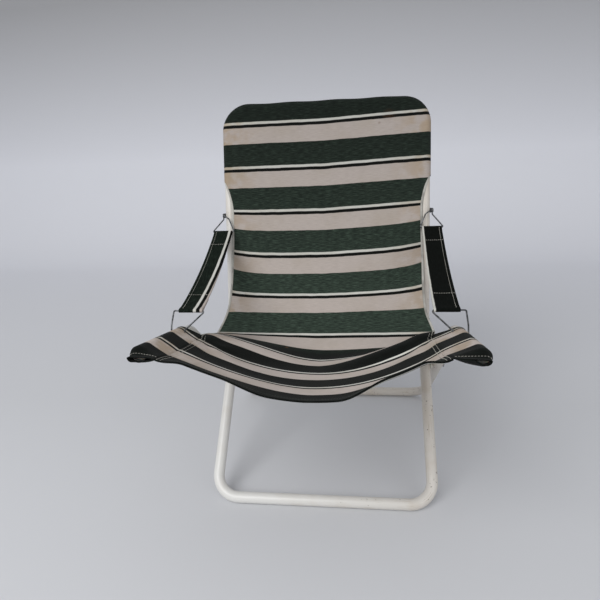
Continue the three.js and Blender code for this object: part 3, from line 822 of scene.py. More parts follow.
@dataclass(frozen=True)
class StripedCanvas:
    """Cotton deck-chair canvas, plain woven, its stripes in the yarn: matt, fuzzy, a heather of lighter weft
    yarns in the dark stripes, handled and spotted with age, and where asked painted with shade and light
    along its length."""

    name: str = "striped_canvas"
    repeat: tuple[Stripe, ...] = CANVAS_REPEAT
    first_mm: float = FIRST_MM
    along_u: bool = False
    painted_shading: bool = False
    # Where the back gets its full tone and where the seat starts; how much painted shade darkens the head,
    #     # how much a painted sheen lightens the dark stripes of the lower back, and how much painted shade
    #     and light
    #     # deepen the seat's dark stripes and lighten its light ones.
    down_mm: tuple[float, float] = (40.0, 470.0)
    seat_mm: tuple[float, float] = (590.0, 650.0)
    painted_head_shade: float = 0.78
    back_tone: float = 1.02
    head_grime: float = 0.3
    painted_back_sheen: float = 0.95
    painted_seat_shade: float = 1.05
    painted_seat_light: float = 0.22
    # How much of the dark stripes' own colour shows; the rest is black.
    deep: float = 1.0
    heather: str = "#3D4A40"
    heather_share: float = 0.75
    soiled: str = "#8E8268"
    soiling: Patches = Patches(95.0, 0.42, 0.75)
    soiled_share: float = 0.22
    worn: str = "#947C58"
    wear: Patches = Patches(28.0, 0.36, 0.6)
    worn_share: float = 0.5
    worn_mm: tuple[float, float] = (150.0, 240.0)
    stained: str = "#5A3A22"
    stains: tuple[Stain, ...] = ()
    # The real yarns are about 0.6 mm apart; they are drawn 1.2 mm apart so that a render can show them.
    yarn_mm: float = 1.2
    yarn_depth_mm: float = 0.18
    slub_mm: float = 16.0
    stray_mm: float = 2.4
    stray_every_mm: float = 30.0
    roughness: float = 0.92
    lustre: float = 0.08

    def material(self) -> Material:
        """Makes the material.

        Returns:
            A cloth material that reads the canvas UV map, in metres across and along the flat cloth.
        """
        material, tree = new_material(self.name)
        flat = add(tree, "ShaderNodeUVMap", uv_map="canvas")
        across, along, _ = add(tree, "ShaderNodeSeparateXYZ", {0: flat}).outputs
        if self.along_u:
            across, along = along, across
        phase = self._phase(tree, flat, along)
        dark = add(tree, "ShaderNodeMath", {0: phase, 1: self.repeat[1].starts}, operation="LESS_THAN")
        colour = self._stripes(tree, phase)
        red = add(tree, "ShaderNodeSeparateColor", {0: colour})
        light = add(tree, "ShaderNodeMapRange", {0: red, 1: 0.08, 2: 0.3})
        colour = self._yarns(tree, across, along, dark, colour)
        # Shade and light painted along the cloth's length.
        if self.painted_shading:
            colour = self._painted_shading(tree, along, dark, colour)
        layers = [(self.soiling.mask(tree, flat, light), self.soiled, self.soiled_share)]
        if not self.along_u:
            layers.append((self._worn(tree, flat, across, light), self.worn, self.worn_share))
        layers += [(stain.mask(tree, flat), self.stained, 1.0) for stain in self.stains]
        colour = layered(tree, colour, *layers)
        sockets = {
            "Base Color": colour,
            "Roughness": self.roughness,
            "Specular IOR Level": self.lustre,
            "Sheen Weight": 0.4 * self.lustre,
            "Sheen Roughness": 0.6,
            "Normal": self._weave(tree, across, along),
        }
        end_material(tree, sockets)
        return material

    def _phase(self, tree: NodeTree, flat: Node, along: Any) -> Node:
        """The place in the repeat of the stripes, which stray a little as woven cloth does.

        Args:
            tree: The material's tree.
            flat: The node that gives the place on the flat cloth.
            along: The place along the cloth, in metres.

        Returns:
            A node that gives 0 to 1 through the repeat.
        """
        scale = 1.0 / (self.stray_every_mm * MM)
        swerve = add(tree, "ShaderNodeTexNoise", {"Vector": flat, "Scale": scale, "Detail": 4.0})
        stray = {0: swerve, 1: self.stray_mm * MM, 2: -(self.stray_mm / 2 + self.first_mm) * MM}
        strayed = add(tree, "ShaderNodeMath", stray, operation="MULTIPLY_ADD")
        place = add(tree, "ShaderNodeMath", {0: along, 1: strayed}, operation="ADD")
        repeats = add(tree, "ShaderNodeMath", {0: place, 1: REPEAT_MM * MM}, operation="DIVIDE")
        return add(tree, "ShaderNodeMath", {0: repeats}, operation="FRACT")

    def _stripes(self, tree: NodeTree, phase: Any) -> Any:
        """The stripe colour at a phase of the repeat.

        Args:
            tree: The material's tree.
            phase: The node that gives 0 to 1 through the repeat.

        Returns:
            The socket with the colour.
        """
        ramp = add(tree, "ShaderNodeValToRGB", {0: phase})
        points = ramp.color_ramp.elements
        soft = 0.5 / REPEAT_MM
        wanted = []
        for k, stripe in enumerate(self.repeat):
            ends = self.repeat[k + 1].starts if k + 1 < len(self.repeat) else 1.0
            wanted += [(stripe.starts + (soft if k else 0.0), stripe.colour), (ends - soft, stripe.colour)]
        wanted.append((1.0, self.repeat[0].colour))
        while len(points) < len(wanted):
            points.new(0.5)
        for element, (position, _) in zip(points, wanted):
            element.position = position
        for element, (_, code) in zip(points, wanted):
            element.color = srgb(code)
        return ramp.outputs[0]

    def _yarns(self, tree: NodeTree, across: Any, along: Any, dark: Any, colour: Any) -> Any:
        """Lays the slubs of the weft, and the heather and depth of the dark stripes, over the colour.

        Args:
            tree: The material's tree.
            across: The place across the cloth, in metres.
            along: The place along the cloth, in metres.
            dark: The mask of the dark stripes.
            colour: The colour so far.

        Returns:
            The socket with the colour.
        """
        yarn = add(tree, "ShaderNodeMath", {0: along, 1: self.yarn_mm * MM}, operation="DIVIDE")
        slub = add(tree, "ShaderNodeMath", {0: across, 1: self.slub_mm * MM}, operation="DIVIDE")
        weft = add(tree, "ShaderNodeCombineXYZ", {0: slub, 1: yarn})
        look = {"Vector": weft, "Scale": 1.0, "Detail": 2.0, "Roughness": 0.6}
        streaks = add(tree, "ShaderNodeTexNoise", look)
        lighter = add(tree, "ShaderNodeMapRange", {0: streaks, 1: 0.45, 2: 0.75})
        lighter = add(tree, "ShaderNodeMath", {0: lighter, 1: dark}, operation="MULTIPLY")
        colour = layered(tree, colour, (lighter, self.heather, self.heather_share))
        shade = add(tree, "ShaderNodeMapRange", {0: streaks, 1: 0.3, 2: 0.7, 3: 0.88, 4: 1.06})
        shaded = add(tree, "ShaderNodeVectorMath", {0: colour, "Scale": shade}, operation="SCALE")
        return layered(tree, shaded, (dark, "#000000", 1.0 - self.deep))

    def _painted_shading(self, tree: NodeTree, along: Any, dark: Any, colour: Any) -> Any:
        """Paints shade on the cloth at the head, a sheen on the dark yarns of the lower back, and shade on
        the seat's dark stripes with light on its light ones.

        Args:
            tree: The material's tree.
            along: The place along the cloth, in metres.
            dark: The mask of the dark stripes.
            colour: The colour so far.

        Returns:
            The socket with the colour.
        """
        down, seat = (
            add(tree, "ShaderNodeMapRange", {0: along, 1: start * MM, 2: end * MM})
            for start, end in (self.down_mm, self.seat_mm)
        )
        back = add(tree, "ShaderNodeMath", {0: down, 1: seat}, operation="SUBTRACT", use_clamp=True)
        # Painted shade: the head's dark stripes are darkened further.
        grime = {0: down, 1: self.head_grime, 2: -self.head_grime}
        grime = add(tree, "ShaderNodeMath", grime, operation="MULTIPLY_ADD")
        # Painted sheen: the lower back's dark stripes are lightened.
        sheen_and_head_shade = {0: back, 1: self.painted_back_sheen, 2: grime}
        sheen_and_head_shade = add(tree, "ShaderNodeMath", sheen_and_head_shade, operation="MULTIPLY_ADD")
        # Painted shade and light on the seat: its dark stripes darkened, its light ones lightened.
        seat_shade_and_light = {0: dark, 1: -self.painted_seat_shade, 2: self.painted_seat_light}
        seat_shade_and_light = add(tree, "ShaderNodeMath", seat_shade_and_light, operation="MULTIPLY_ADD")
        for sums in (
            # Painted shade: the whole cloth darker at the head.
            {0: down, 1: self.back_tone - self.painted_head_shade, 2: self.painted_head_shade},
            {0: sheen_and_head_shade, 1: dark, 2: 1.0},
            {0: seat_shade_and_light, 1: seat, 2: 1.0},
        ):
            tone = add(tree, "ShaderNodeMath", sums, operation="MULTIPLY_ADD")
            colour = add(tree, "ShaderNodeVectorMath", {0: colour, "Scale": tone}, operation="SCALE")
        return colour

    def _worn(self, tree: NodeTree, flat: Node, across: Any, light: Any) -> Node:
        """A mask of the wear on the light stripes near the panel's sides.

        Args:
            tree: The material's tree.
            flat: The node that gives the place on the flat cloth.
            across: The place across the cloth, in metres.
            light: The mask of the light stripes.

        Returns:
            A node that gives 0 to 1.
        """
        start, end = self.worn_mm
        out = add(tree, "ShaderNodeMath", {0: across}, operation="ABSOLUTE")
        beside = add(tree, "ShaderNodeMapRange", {0: out, 1: start * MM, 2: end * MM})
        sides = add(tree, "ShaderNodeMath", {0: beside, 1: light}, operation="MULTIPLY")
        return self.wear.mask(tree, flat, sides)

    def _weave(self, tree: NodeTree, across: Any, along: Any) -> Node:
        """The relief of a plain weave.

        Args:
            tree: The material's tree.
            across: The place across the cloth, in metres.
            along: The place along the cloth, in metres.

        Returns:
            A node that gives the normal.
        """
        threads = 1.0
        for way in (across, along):
            turns = {0: way, 1: math.pi / (self.yarn_mm * MM)}
            angle = add(tree, "ShaderNodeMath", turns, operation="MULTIPLY")
            wave = add(tree, "ShaderNodeMath", {0: angle}, operation="SINE")
            height = add(tree, "ShaderNodeMath", {0: wave}, operation="ABSOLUTE")
            threads = add(tree, "ShaderNodeMath", {0: height, 1: threads}, operation="MULTIPLY")
        relief = {"Height": threads, "Strength": 0.5, "Distance": self.yarn_depth_mm * MM}
        return add(tree, "ShaderNodeBump", relief)


@dataclass(frozen=True)
class SpunThread:
    """Spun cotton thread or tape, off-white or dark and matt, darkened a little by handling."""

    name: str = "spun_thread"
    light: str = "#BDBAB0"
    grey: str = "#8F8C84"
    roughness: float = 0.9
    soiling: Patches = Patches(30.0, 0.42, 0.7)
    twist: Grain = Grain(0.6, 0.1, 0.4)

    def material(self) -> Material:
        """Makes the material.

        Returns:
            A matt material that reads Object coordinates.
        """
        material, tree = new_material(self.name)
        place = add(tree, "ShaderNodeTexCoord").outputs["Object"]
        sockets = {
            "Base Color": layered(tree, srgb(self.light), (self.soiling.mask(tree, place), self.grey, 1.0)),
            "Roughness": self.roughness,
            "Normal": self.twist.bump(tree, place),
        }
        end_material(tree, sockets)
        return material


ZINC_PLATE = PlainMetal("zinc_plated_steel", "#A9AAAB", "#7C7B79", "#6A4A33", 0.32)
SPRING_WIRE = PlainMetal("darkened_spring_wire", "#6A6C6E", "#3E3F41", "#54402F", 0.4, 0.64)


@dataclass(frozen=True)
class Stitch:
    """A stitch: its pitch, length and thread in millimetres, and the seed of its unevenness."""

    pitch: float
    length: float
    thread: float
    seed: int


@dataclass
class Workshop:
    """The trees and finishes that the pieces share, each made once."""

    round: NodeTree = field(default_factory=swept_round_tree)
    stitches: NodeTree = field(default_factory=stitch_tree)
    paint: Material = field(default_factory=EnamelPaint().material)
    zinc: Material = field(default_factory=ZINC_PLATE.material)
    wire: Material = field(default_factory=SPRING_WIRE.material)
    nylon: Material = field(default_factory=MouldedNylon().material)
    thread: Material = field(default_factory=SpunThread().material)
    dark_thread: Material = field(default_factory=SpunThread("dark_thread", "#3C423D", "#2A2F2B").material)
    tape: Material = field(default_factory=SpunThread("edge_tape", "#B4B2AB", "#8C8A84").material)

    def sew(self, name: str, routes: Sequence[Array], stitch: Stitch, thread: Material) -> Object:
        """Sews rows of stitches.

        Args:
            name: The piece's name.
            routes: The points of each row.
            stitch: The stitch.
            thread: What it is sewn with.

        Returns:
            The stitches, all smooth.
        """
        sizes = {"Pitch": stitch.pitch * MM, "Length": stitch.length * MM, "Thread": stitch.thread * MM}
        rows = route_mesh(f"{name}_rows", routes)
        return grown(name, rows, self.stitches, 180.0, **sizes, Seed=stitch.seed, Material=thread)


def carried(obj: Object, body: str, slot: str, *nodes: str) -> Object:
    """Hangs a finished piece on the body that carries it and hides the CAD nodes that it stands for.

    Args:
        obj: The finished piece.
        body: The CAD body that it rides on.
        slot: Not used.
        *nodes: The CAD nodes that it replaces.

    Returns:
        The same piece.
    """
    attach(obj, body)
    if nodes:
        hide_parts(*nodes)
    LOG.info("%s rides on %s: %d faces", obj.name, body, len(obj.data.polygons))
    return obj


# The steel frames


@dataclass(frozen=True)
class Rivet:
    """A turned rivet or pin: the radius of its shank, and the radius and height of its two domed heads."""

    shank: float
    head: float
    rise: float
    edge_share: float = 0.3
    eased: float = 0.97
    crown: float = 0.05
    steps: int = 6

    def _dome(self, start: float, outward: float) -> list[tuple[float, float]]:
        """The turned profile of a domed head.

        Args:
            start: X of the head's flat side.
            outward: Which way the dome rises, 1 or -1.

        Returns:
            Pairs of X and radius from the flat side to the crown.
        """
        edge = self.edge_share * self.rise
        profile = [(start, self.head * self.eased), (start + outward * edge / 2, self.head)]
        for k in range(self.steps + 1):
            angle = math.radians(90.0 * k / self.steps)
            reach = (self.rise - edge) * math.sin(angle)
            profile.append((start + outward * (edge + reach), max(self.head * math.cos(angle), self.crown)))
        return profile

    def profile(self, start: float, end: float) -> list[tuple[float, float]]:
        """The turned profile from one crown to the other.

        Args:
            start: X of the inner head's flat side.
            end: X of the outer head's flat side.

        Returns:
            Pairs of X and radius.
        """
        inner, outer = self._dome(start, -1.0), self._dome(end, 1.0)
        return [*inner[::-1], (start, self.shank), (end, self.shank), *outer]


BAIL_PIN = Rivet(2.5, 4.5, 2.0)
WIRE_RADIUS = 1.5


@dataclass
class SteelFrames:
    """The three bent tubes, their rivets, spacers, pins and end caps."""

    shop: Workshop
    bend_step: float = 5.0
    facets: int = 40
    plug_shoulder: float = 5.0
    plug_steps: tuple[float, ...] = (0.0, 0.35, 0.7)
    rim_roll: float = 0.6
    pivot_rivet: Rivet = Rivet(4.0, 7.5, 3.0)
    joint_rivet: Rivet = Rivet(2.0, 4.0, 1.2)
    joint_rivet_drop: float = 15.0
    turned_facets: int = 28
    turned_sharp: float = 30.0
    least_step: float = 0.02
    spacer_hole: float = 4.3
    spacer_radius: float = 10.0
    spacer_ease: float = 0.8
    spacer_facets: int = 40

    def build(self) -> None:
        """Builds every piece of both frames."""
        self._front_hoop()
        self._back_hoop()
        self._seat_frame()
        for side in Side:
            self._fasteners(side)
        for name in ("arm_end_cap_left", "arm_end_cap_right"):
            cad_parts[name].data.materials.clear()
            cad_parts[name].data.materials.append(self.shop.nylon)

    def _tube(self, name: str, routes: Sequence[Array], girths: Sequence[Any], body: str) -> None:
        """Makes one painted tube.

        Args:
            name: The CAD node that it stands for.
            routes: Its centre lines.
            girths: The radius of each.
            body: The body that carries it.
        """
        source = route_mesh(name, routes, girths)
        tube = grown(f"{name}_tube", source, self.shop.round, Facets=self.facets, Material=self.shop.paint)
        carried(tube, body, "white_paint", name)

    def _hoop(self, half: float, profile: Sequence[Array]) -> Array:
        """The middle line of a hoop, from its left end over its crossbar to its right end.

        Args:
            half: Half of the hoop's width.
            profile: Side profile points of the end, of any bend and of the crossbar.

        Returns:
            The line's points.
        """
        corners = [at(-half, p) for p in profile] + [at(half, p) for p in reversed(profile)]
        bends = [0, *[PLAN.frame_bend_radius] * (len(profile) - 2), PLAN.corner_radius]
        return rounded_route(corners, [*bends, *reversed(bends)], self.bend_step)

    def _front_hoop(self) -> None:
        """The lower hoop: floor bar, front legs and the sockets above the bends, their rims rolled in."""
        half, radius = PLAN.leg_half, PLAN.tube_radius
        rim = PLAN.joint - PLAN.rail_up * self.rim_roll
        route = self._hoop(half, (rim, PLAN.back_bend, PLAN.front_bar))
        route = np.vstack([at(-half, PLAN.joint), route, at(half, PLAN.joint)])
        girth = np.full(len(route), radius)
        girth[[0, -1]] = radius - self.rim_roll
        self._tube("front_leg_hoop", [route], [girth], "back_frame")

    def _back_hoop(self) -> None:
        """The upper hoop: both rails and the head bar, necked down where it enters the lower hoop."""
        half, radius = PLAN.leg_half, PLAN.tube_radius
        neck = PLAN.joint + PLAN.rail_up * PLAN.clearance
        full = neck + PLAN.rail_up * self.plug_shoulder
        route = self._hoop(half, (full, PLAN.head_bar))
        low = [neck + (full - neck) * t for t in self.plug_steps]
        route = np.vstack([[at(-half, p) for p in low], route, [at(half, p) for p in reversed(low)]])
        girth = np.full(len(route), radius)
        narrow = radius - PLAN.tube_wall
        shares = [narrow + (radius - narrow) * smooth(t) for t in self.plug_steps]
        girth[:3], girth[-3:] = shares, shares[::-1]
        self._tube("back_hoop", [route], [girth], "back_frame")

    def _seat_frame(self) -> None:
        """The seat frame: rear floor bar, rear legs and both seat arms."""
        route = self._hoop(PLAN.seat_half, (PLAN.arm_end, PLAN.seat_bend, PLAN.rear_bar))
        self._tube("seat_frame_tube", [route], [PLAN.tube_radius], "seat_frame")

    def _turned(
        self, name: str, centre: Array, side: Side, profile: Sequence[tuple[float, float]], body: str
    ) -> None:
        """Makes one turned fastener about a crosswise axis.

        Args:
            name: The CAD node that it stands for.
            centre: The axis in the side profile.
            side: The side of the chair.
            profile: Pairs of X, for the right side, and radius, in order along the axis.
            body: The body that carries it.
        """
        xs = np.array([x for x, _ in profile], float)
        for k in range(1, len(xs)):
            xs[k] = max(xs[k], xs[k - 1] + self.least_step)
        route = np.array([at(side.value * x, centre) for x in xs])
        girth = np.array([r for _, r in profile], float)
        source = route_mesh(name, [route], [girth])
        looks = {"Facets": self.turned_facets, "Material": self.shop.zinc}
        piece = grown(f"{name}_turned", source, self.shop.round, self.turned_sharp, **looks)
        carried(piece, body, "zinc_steel", name)

    def _fasteners(self, side: Side) -> None:
        """The pivot rivet and spacer, the joint rivet and both bail pins of one side.

        Args:
            side: The side of the chair.
        """
        gap, radius, eye = PLAN.clearance, PLAN.tube_radius, 2 * WIRE_RADIUS + PLAN.clearance
        low, high = PLAN.leg_half - radius - gap, PLAN.leg_half + radius + gap
        arm_in, arm_out = PLAN.seat_half - radius - gap, PLAN.seat_half + radius + gap
        socket = PLAN.joint - PLAN.rail_up * self.joint_rivet_drop
        for word, centre, rivet, start, end, body in (
            ("pivot_rivet", PLAN.pivot, self.pivot_rivet, low, arm_out, "back_frame"),
            ("joint_rivet", socket, self.joint_rivet, low, high, "back_frame"),
            ("upper_bail_pin", PLAN.upper_pin, BAIL_PIN, low, high + 2 * eye, "back_frame"),
            ("lower_bail_pin", PLAN.lower_pin, BAIL_PIN, arm_in - eye, arm_out + eye, "seat_frame"),
        ):
            self._turned(f"{word}_{side.label}", centre, side, rivet.profile(start, end), body)
        self._spacer(side)

    def _spacer(self, side: Side) -> None:
        """The moulded spacer ring between the two frames at the pivot, with eased rims.

        Args:
            side: The side of the chair.
        """
        inner = PLAN.leg_half + PLAN.tube_radius + PLAN.clearance
        outer = PLAN.seat_half - PLAN.tube_radius - PLAN.clearance
        hole, rim, ease = self.spacer_hole, self.spacer_radius, self.spacer_ease
        first = [(hole, 0.0), (rim - ease, 0.0), (rim - ease / 4, ease / 4), (rim, ease)]
        outline = [(radius, inner + x) for radius, x in first]
        outline += [(radius, outer - x) for radius, x in first[::-1]]
        turns, count = self.spacer_facets, len(outline)
        points, faces = [], []
        for k in range(turns):
            angle = 2 * math.pi * k / turns
            points += [at(side.value * x, PLAN.pivot + radius * ray(angle)) for radius, x in outline]
            for i in range(count):
                n, m = (k + 1) % turns, (i + 1) % count
                quad = (k * count + i, k * count + m, n * count + m, n * count + i)
                faces.append(quad if side is Side.LEFT else quad[::-1])
        name = f"pivot_spacer_{side.label}"
        ring = mesh_object(f"{name}_ring", np.array(points), faces)
        ring.data.set_sharp_from_angle(angle=math.radians(SHARP_DEGREES))
        ring.data.materials.append(self.shop.nylon)
        carried(ring, "back_frame", "white_plastic", name)


# The wire bails


@dataclass
class WireBails:
    """The four wire bails: each one wire, bent to an eye, a leg, the bar for the cloth, a leg and an eye."""

    shop: Workshop
    wire: float = WIRE_RADIUS
    facets: int = 14
    bend_radius: float = 3.0
    bend_step: float = 9.0
    neck: float = 11.0
    eye_turn: float = 0.86
    eye_steps: int = 28
    upper_reach: float = 47.0
    upper_drop: float = 48.0
    upper_centre: float = 14.0
    upper_length: float = 54.0
    crossing_standoff: float = 20.0
    crossing_rise: float = 10.0
    lower_reach: float = 48.5
    lower_lean: float = 57.6
    lower_centre: float = 20.0
    lower_length: float = 63.0
    saddle: float = 20.0

    @cached_property
    def upper_bar(self) -> Array:
        """Middle line of the upper bails' bars."""
        return PLAN.upper_pin + heading(180.0 + self.upper_drop) * self.upper_reach

    @cached_property
    def lower_bar(self) -> Array:
        """Middle line of the lower bails' bars."""
        return PLAN.lower_pin + heading(self.lower_lean) * self.lower_reach

    def _eye(self, x: float, centre: Array, towards: Array, turn_side: float) -> Array:
        """The open eye of a wire round a pin.

        Args:
            x: The eye's place across.
            centre: The pin.
            towards: The point to which the wire leaves.
            turn_side: 1 or -1, the way in which the eye is wound.

        Returns:
            The eye's points, which end where the wire leaves.
        """
        radius = BAIL_PIN.shank + PLAN.clearance + self.wire
        reach = towards[1:] - centre
        bearing = math.atan2(reach[1], reach[0])
        contact = math.acos(min(1.0, radius / float(np.linalg.norm(reach))))
        last = bearing + turn_side * contact
        turn = 2 * math.pi * self.eye_turn
        angles = [last + turn_side * turn * (1 - k / self.eye_steps) for k in range(self.eye_steps + 1)]
        return np.array([at(x, centre + radius * ray(a)) for a in angles])

    def _bail(
        self, name: str, side: Side, pin: Array, inner: float, outer: float, route: Sequence[Array]
    ) -> None:
        """Makes one bail.

        Args:
            name: The CAD node that it stands for, and the body that carries it.
            side: The side of the chair.
            pin: The pin that it hangs on.
            inner: The inner eye's place across.
            outer: The outer eye's place across.
            route: The bends between the two eyes, for the right side.
        """
        start = self._eye(inner, pin, route[0], 1.0)
        end = self._eye(outer, pin, route[-1], -1.0)[::-1]
        corners = [start[-1], *route, end[0]]
        middle = rounded_route(corners, [self.bend_radius] * len(corners), self.bend_step)[1:-1]
        line = np.vstack([start, middle, end]) * np.array([side.value, 1.0, 1.0])
        source = route_mesh(name, [line], [self.wire])
        bail = grown(f"{name}_wire", source, self.shop.round, Facets=self.facets, Material=self.shop.wire)
        carried(bail, name, "dark_wire", name)

    def build(self) -> None:
        """Builds the upper and lower bail of each side."""
        towards_bar = unit(self.upper_bar - PLAN.upper_pin)
        crossing = PLAN.upper_pin + PLAN.rail_up * (self.crossing_rise - self.crossing_standoff)
        crossing = crossing + PLAN.rail_front * self.crossing_standoff
        eye_in = PLAN.leg_half + PLAN.tube_radius + PLAN.clearance + self.wire
        eye_out = eye_in + 2 * self.wire + PLAN.clearance
        centre, half = PLAN.leg_half + self.upper_centre, self.upper_length / 2
        upper = [
            at(eye_in, PLAN.upper_pin + PLAN.rail_front * self.crossing_standoff),
            at(PLAN.leg_half, crossing),
            at(centre - half, self.upper_bar),
            at(centre + half, self.upper_bar),
            at(eye_out, PLAN.upper_pin + towards_bar * self.neck),
        ]
        towards_bar = unit(self.lower_bar - PLAN.lower_pin)
        arm_in = PLAN.seat_half - PLAN.tube_radius - PLAN.clearance - self.wire
        arm_out = PLAN.seat_half + PLAN.tube_radius + PLAN.clearance + self.wire
        centre, half = PLAN.seat_half - self.lower_centre, self.lower_length / 2
        lower = [
            at(arm_in, PLAN.lower_pin + towards_bar * self.neck),
            at(centre - half, self.lower_bar),
            at(centre + half, self.lower_bar),
            at(arm_out, PLAN.lower_pin + towards_bar * self.saddle),
        ]
        for side in Side:
            self._bail(f"upper_bail_{side.label}", side, PLAN.upper_pin, eye_in, eye_out, upper)
            self._bail(f"lower_bail_{side.label}", side, PLAN.lower_pin, arm_in, arm_out, lower)


# The sling


@dataclass
class SlingShape:
    """The surface of the sling's one length of canvas.

    Along the cloth is measured from the crown of the head pocket, forward and down the front. Behind the
    crown it is negative.
    """

    stand_off: float = 13.2
    pocket_foot: float = 186.0
    pocket_rear: float = -192.0
    hem: float = 981.0
    hem_draw: float = 7.0
    sleeve_rear: float = 772.0
    back_handle: float = 0.25
    low_handle: float = 0.34
    seat_handle: float = 0.16
    front_rise: float = 0.4
    pocket_half: float = 245.7
    pocket_corner: float = 63.2
    # The middle line's lowest point, against the seat bend, and its front end, against the arms' ends.
    low_from_bend: tuple[float, float] = (84.0, -92.0)
    front_from_arms: tuple[float, float] = (-29.0, -66.0)
    # Where along the cloth its form changes.
    wrap_end: float = 300.0
    seated: Ramp = Ramp(430.0, 230.0)
    straight: Ramp = Ramp(430.0, 220.0)
    left_eased: Ramp = Ramp(660.0, 110.0)
    left_fuller: Ramp = Ramp(700.0, 60.0)
    left_flatter: Ramp = Ramp(840.0, 60.0)
    past_ridge: Ramp = Ramp(738.0, 60.0)
    sewn: Ramp = Ramp(758.0, 14.0)
    drawn_from: float = 925.0
    drawn_half: Ramp = Ramp(0.0, 0.55)
    # How far the left and right seams hang below the arms, how far the mouths' hems draw them up, and where.
    seam_drops: tuple[float, float] = (10.0, 7.0)
    seam_rises: tuple[float, float] = (7.0, 10.0)
    mouth_draw: Ramp = Ramp(140.0, 75.0)
    # How high the taut hem lifts the seat's left and right, from where, and at which shares of its width.
    lifts: tuple[float, float] = (13.0, 21.0)
    lifted_from: tuple[float, float] = (922.0, 896.0)
    lift_in: Ramp = Ramp(0.24, 0.34)
    lift_out: Ramp = Ramp(0.8, 0.2)
    # How far the stripes climb from the middle of the back to its right edge, as the canvas hangs askew.
    askew: float = 11.0
    # Along, half width, y and z of each free edge, from the pocket's foot to the rear of the arm sleeve.
    upper_edge: tuple[tuple[float, float, float, float], ...] = (
        (186.0, 245.7, 339.0, 657.9),
        (212.0, 236.0, 332.8, 633.0),
        (240.0, 228.5, 326.0, 606.0),
        (311.0, 226.0, 310.7, 545.0),
        (363.0, 227.0, 298.0, 496.0),
        (414.7, 228.0, 281.0, 452.0),
        (466.0, 227.5, 250.0, 408.0),
        (518.3, 230.0, 209.0, 366.0),
        (569.0, 243.0, 163.0, 334.0),
    )
    left_wing: tuple[tuple[float, float, float, float], ...] = (
        (609.0, 238.0, 128.0, 344.0),
        (640.0, 232.0, 102.0, 354.5),
        (669.0, 229.5, 76.0, 364.5),
        (709.0, 229.0, 42.0, 379.0),
        (744.0, 228.5, 12.0, 390.0),
        (772.0, 226.0, -8.0, 391.0),
    )
    right_wing: tuple[tuple[float, float, float, float], ...] = (
        (609.0, 240.0, 126.0, 328.0),
        (640.0, 238.0, 102.0, 329.0),
        (669.0, 233.0, 76.0, 346.0),
        (709.0, 225.0, 42.0, 385.0),
        (744.0, 221.0, 14.0, 396.0),
        (772.0, 216.0, -6.0, 393.5),
    )
    # Side profile points where the upper edge of a dark stripe lies, by the stripe's number.
    stripe_marks: tuple[tuple[int, float, float], ...] = (
        (3, 309.0, 536.0),
        (4, 272.0, 439.0),
        (5, 228.0, 356.0),
        (6, 141.0, 300.0),
        (7, 40.0, 311.0),
        (8, -61.0, 333.0),
        (9, -162.0, 356.0),
    )

    @cached_property
    def _middle(self) -> tuple[Array, Array]:
        """The middle line below the pocket, in two curves that meet at its lowest point.

        Returns:
            Arc lengths from the crown, and the points there.
        """
        pocket = PLAN.pocket_depth + PLAN.clearance
        top = PLAN.head_bar - PLAN.rail_up * pocket + PLAN.rail_front * self.stand_off
        low = PLAN.seat_bend + np.array(self.low_from_bend)
        front = PLAN.arm_end + np.array(self.front_from_arms)
        drop, reach = float(np.linalg.norm(top - low)), float(np.linalg.norm(low - front))
        rise, level = unit(np.array([1.0, -self.front_rise])), heading(0)
        curves = (
            (top, top - PLAN.rail_up * drop * self.back_handle, low + level * drop * self.low_handle, low),
            (low, low - level * reach * self.seat_handle, front + rise * reach * self.seat_handle, front),
        )
        t = np.linspace(0.0, 1.0, 200)[:, None]
        shares = ((1 - t) ** 3, 3 * (1 - t) ** 2 * t, 3 * (1 - t) * t * t, t**3)
        parts = [sum(share * point for share, point in zip(shares, curve)) for curve in curves]
        points = np.vstack([parts[0], parts[1][1:]])
        return self.pocket_foot + distances(points), points

    @cached_property
    def marks(self) -> tuple[Array, Array]:
        """Marks that make the stripes fall in their places.

        Returns:
            Stripe coordinates and the arc lengths at which they lie.
        """
        arcs, points = self._middle
        along = [self.pocket_rear, FIRST_MM, self.pocket_foot + FIRST_MM]
        arc = [self.pocket_rear, 0.0, self.pocket_foot]
        for number, y, z in self.stripe_marks:
            nearest = int(np.argmin(np.linalg.norm(points - np.array([y, z]), axis=1)))
            along.append(FIRST_MM + number * REPEAT_MM)
            arc.append(float(arcs[nearest]))
        along.append(self.hem)
        arc.append(float(arcs[-1]))
        return np.array(along), np.array(arc)

    def middle(self, along: Array) -> Array:
        """Points of the middle line below the pocket.

        Args:
            along: Stripe coordinates.

        Returns:
            The (y, z) points.
        """
        arcs, points = self._middle
        arc = np.interp(along, *self.marks)
        return np.stack([np.interp(arc, arcs, points[:, k]) for k in (0, 1)], axis=-1)

    def seam_half(self, side: Side) -> float:
        """How far out the seam of an arm sleeve lies; the left one has been pulled further out."""
        return (self.left_wing if side is Side.LEFT else self.right_wing)[-1][1]

    def seam_drop(self, side: Side, y: Array | float) -> Array | float:
        """How far a sleeve's seam lies below the seat arm's middle line.

        Args:
            side: The side of the chair.
            y: The place along the chair.

        Returns:
            The drop, less towards the mouth, where the hem draws the seam up.
        """
        which = 0 if side is Side.LEFT else 1
        return self.seam_drops[which] - self.seam_rises[which] * self.mouth_draw(-y)

    def free_edge(self, along: Array, side: Side) -> Array:
        """Half width, y and z of the free edge, and of the sleeve's seam beyond it.

        Args:
            along: Stripe coordinates.
            side: The side of the chair.

        Returns:
            The three numbers for each, along a smooth curve.
        """
        wing = self.left_wing if side is Side.LEFT else self.right_wing
        table = np.array(self.upper_edge + wing)
        place = np.minimum(along, self.sleeve_rear)
        free = np.stack([cubic(place, table[:, 0], table[:, k]) for k in (1, 2, 3)], axis=-1)
        y = self.middle(along)[..., 0]
        height = PLAN.arm_height(y) - self.seam_drop(side, y)
        seam = np.stack([np.full_like(y, self.seam_half(side)), y, height], axis=-1)
        sewn = self.sewn(along)[..., None]
        return free * (1 - sewn) + seam * sewn

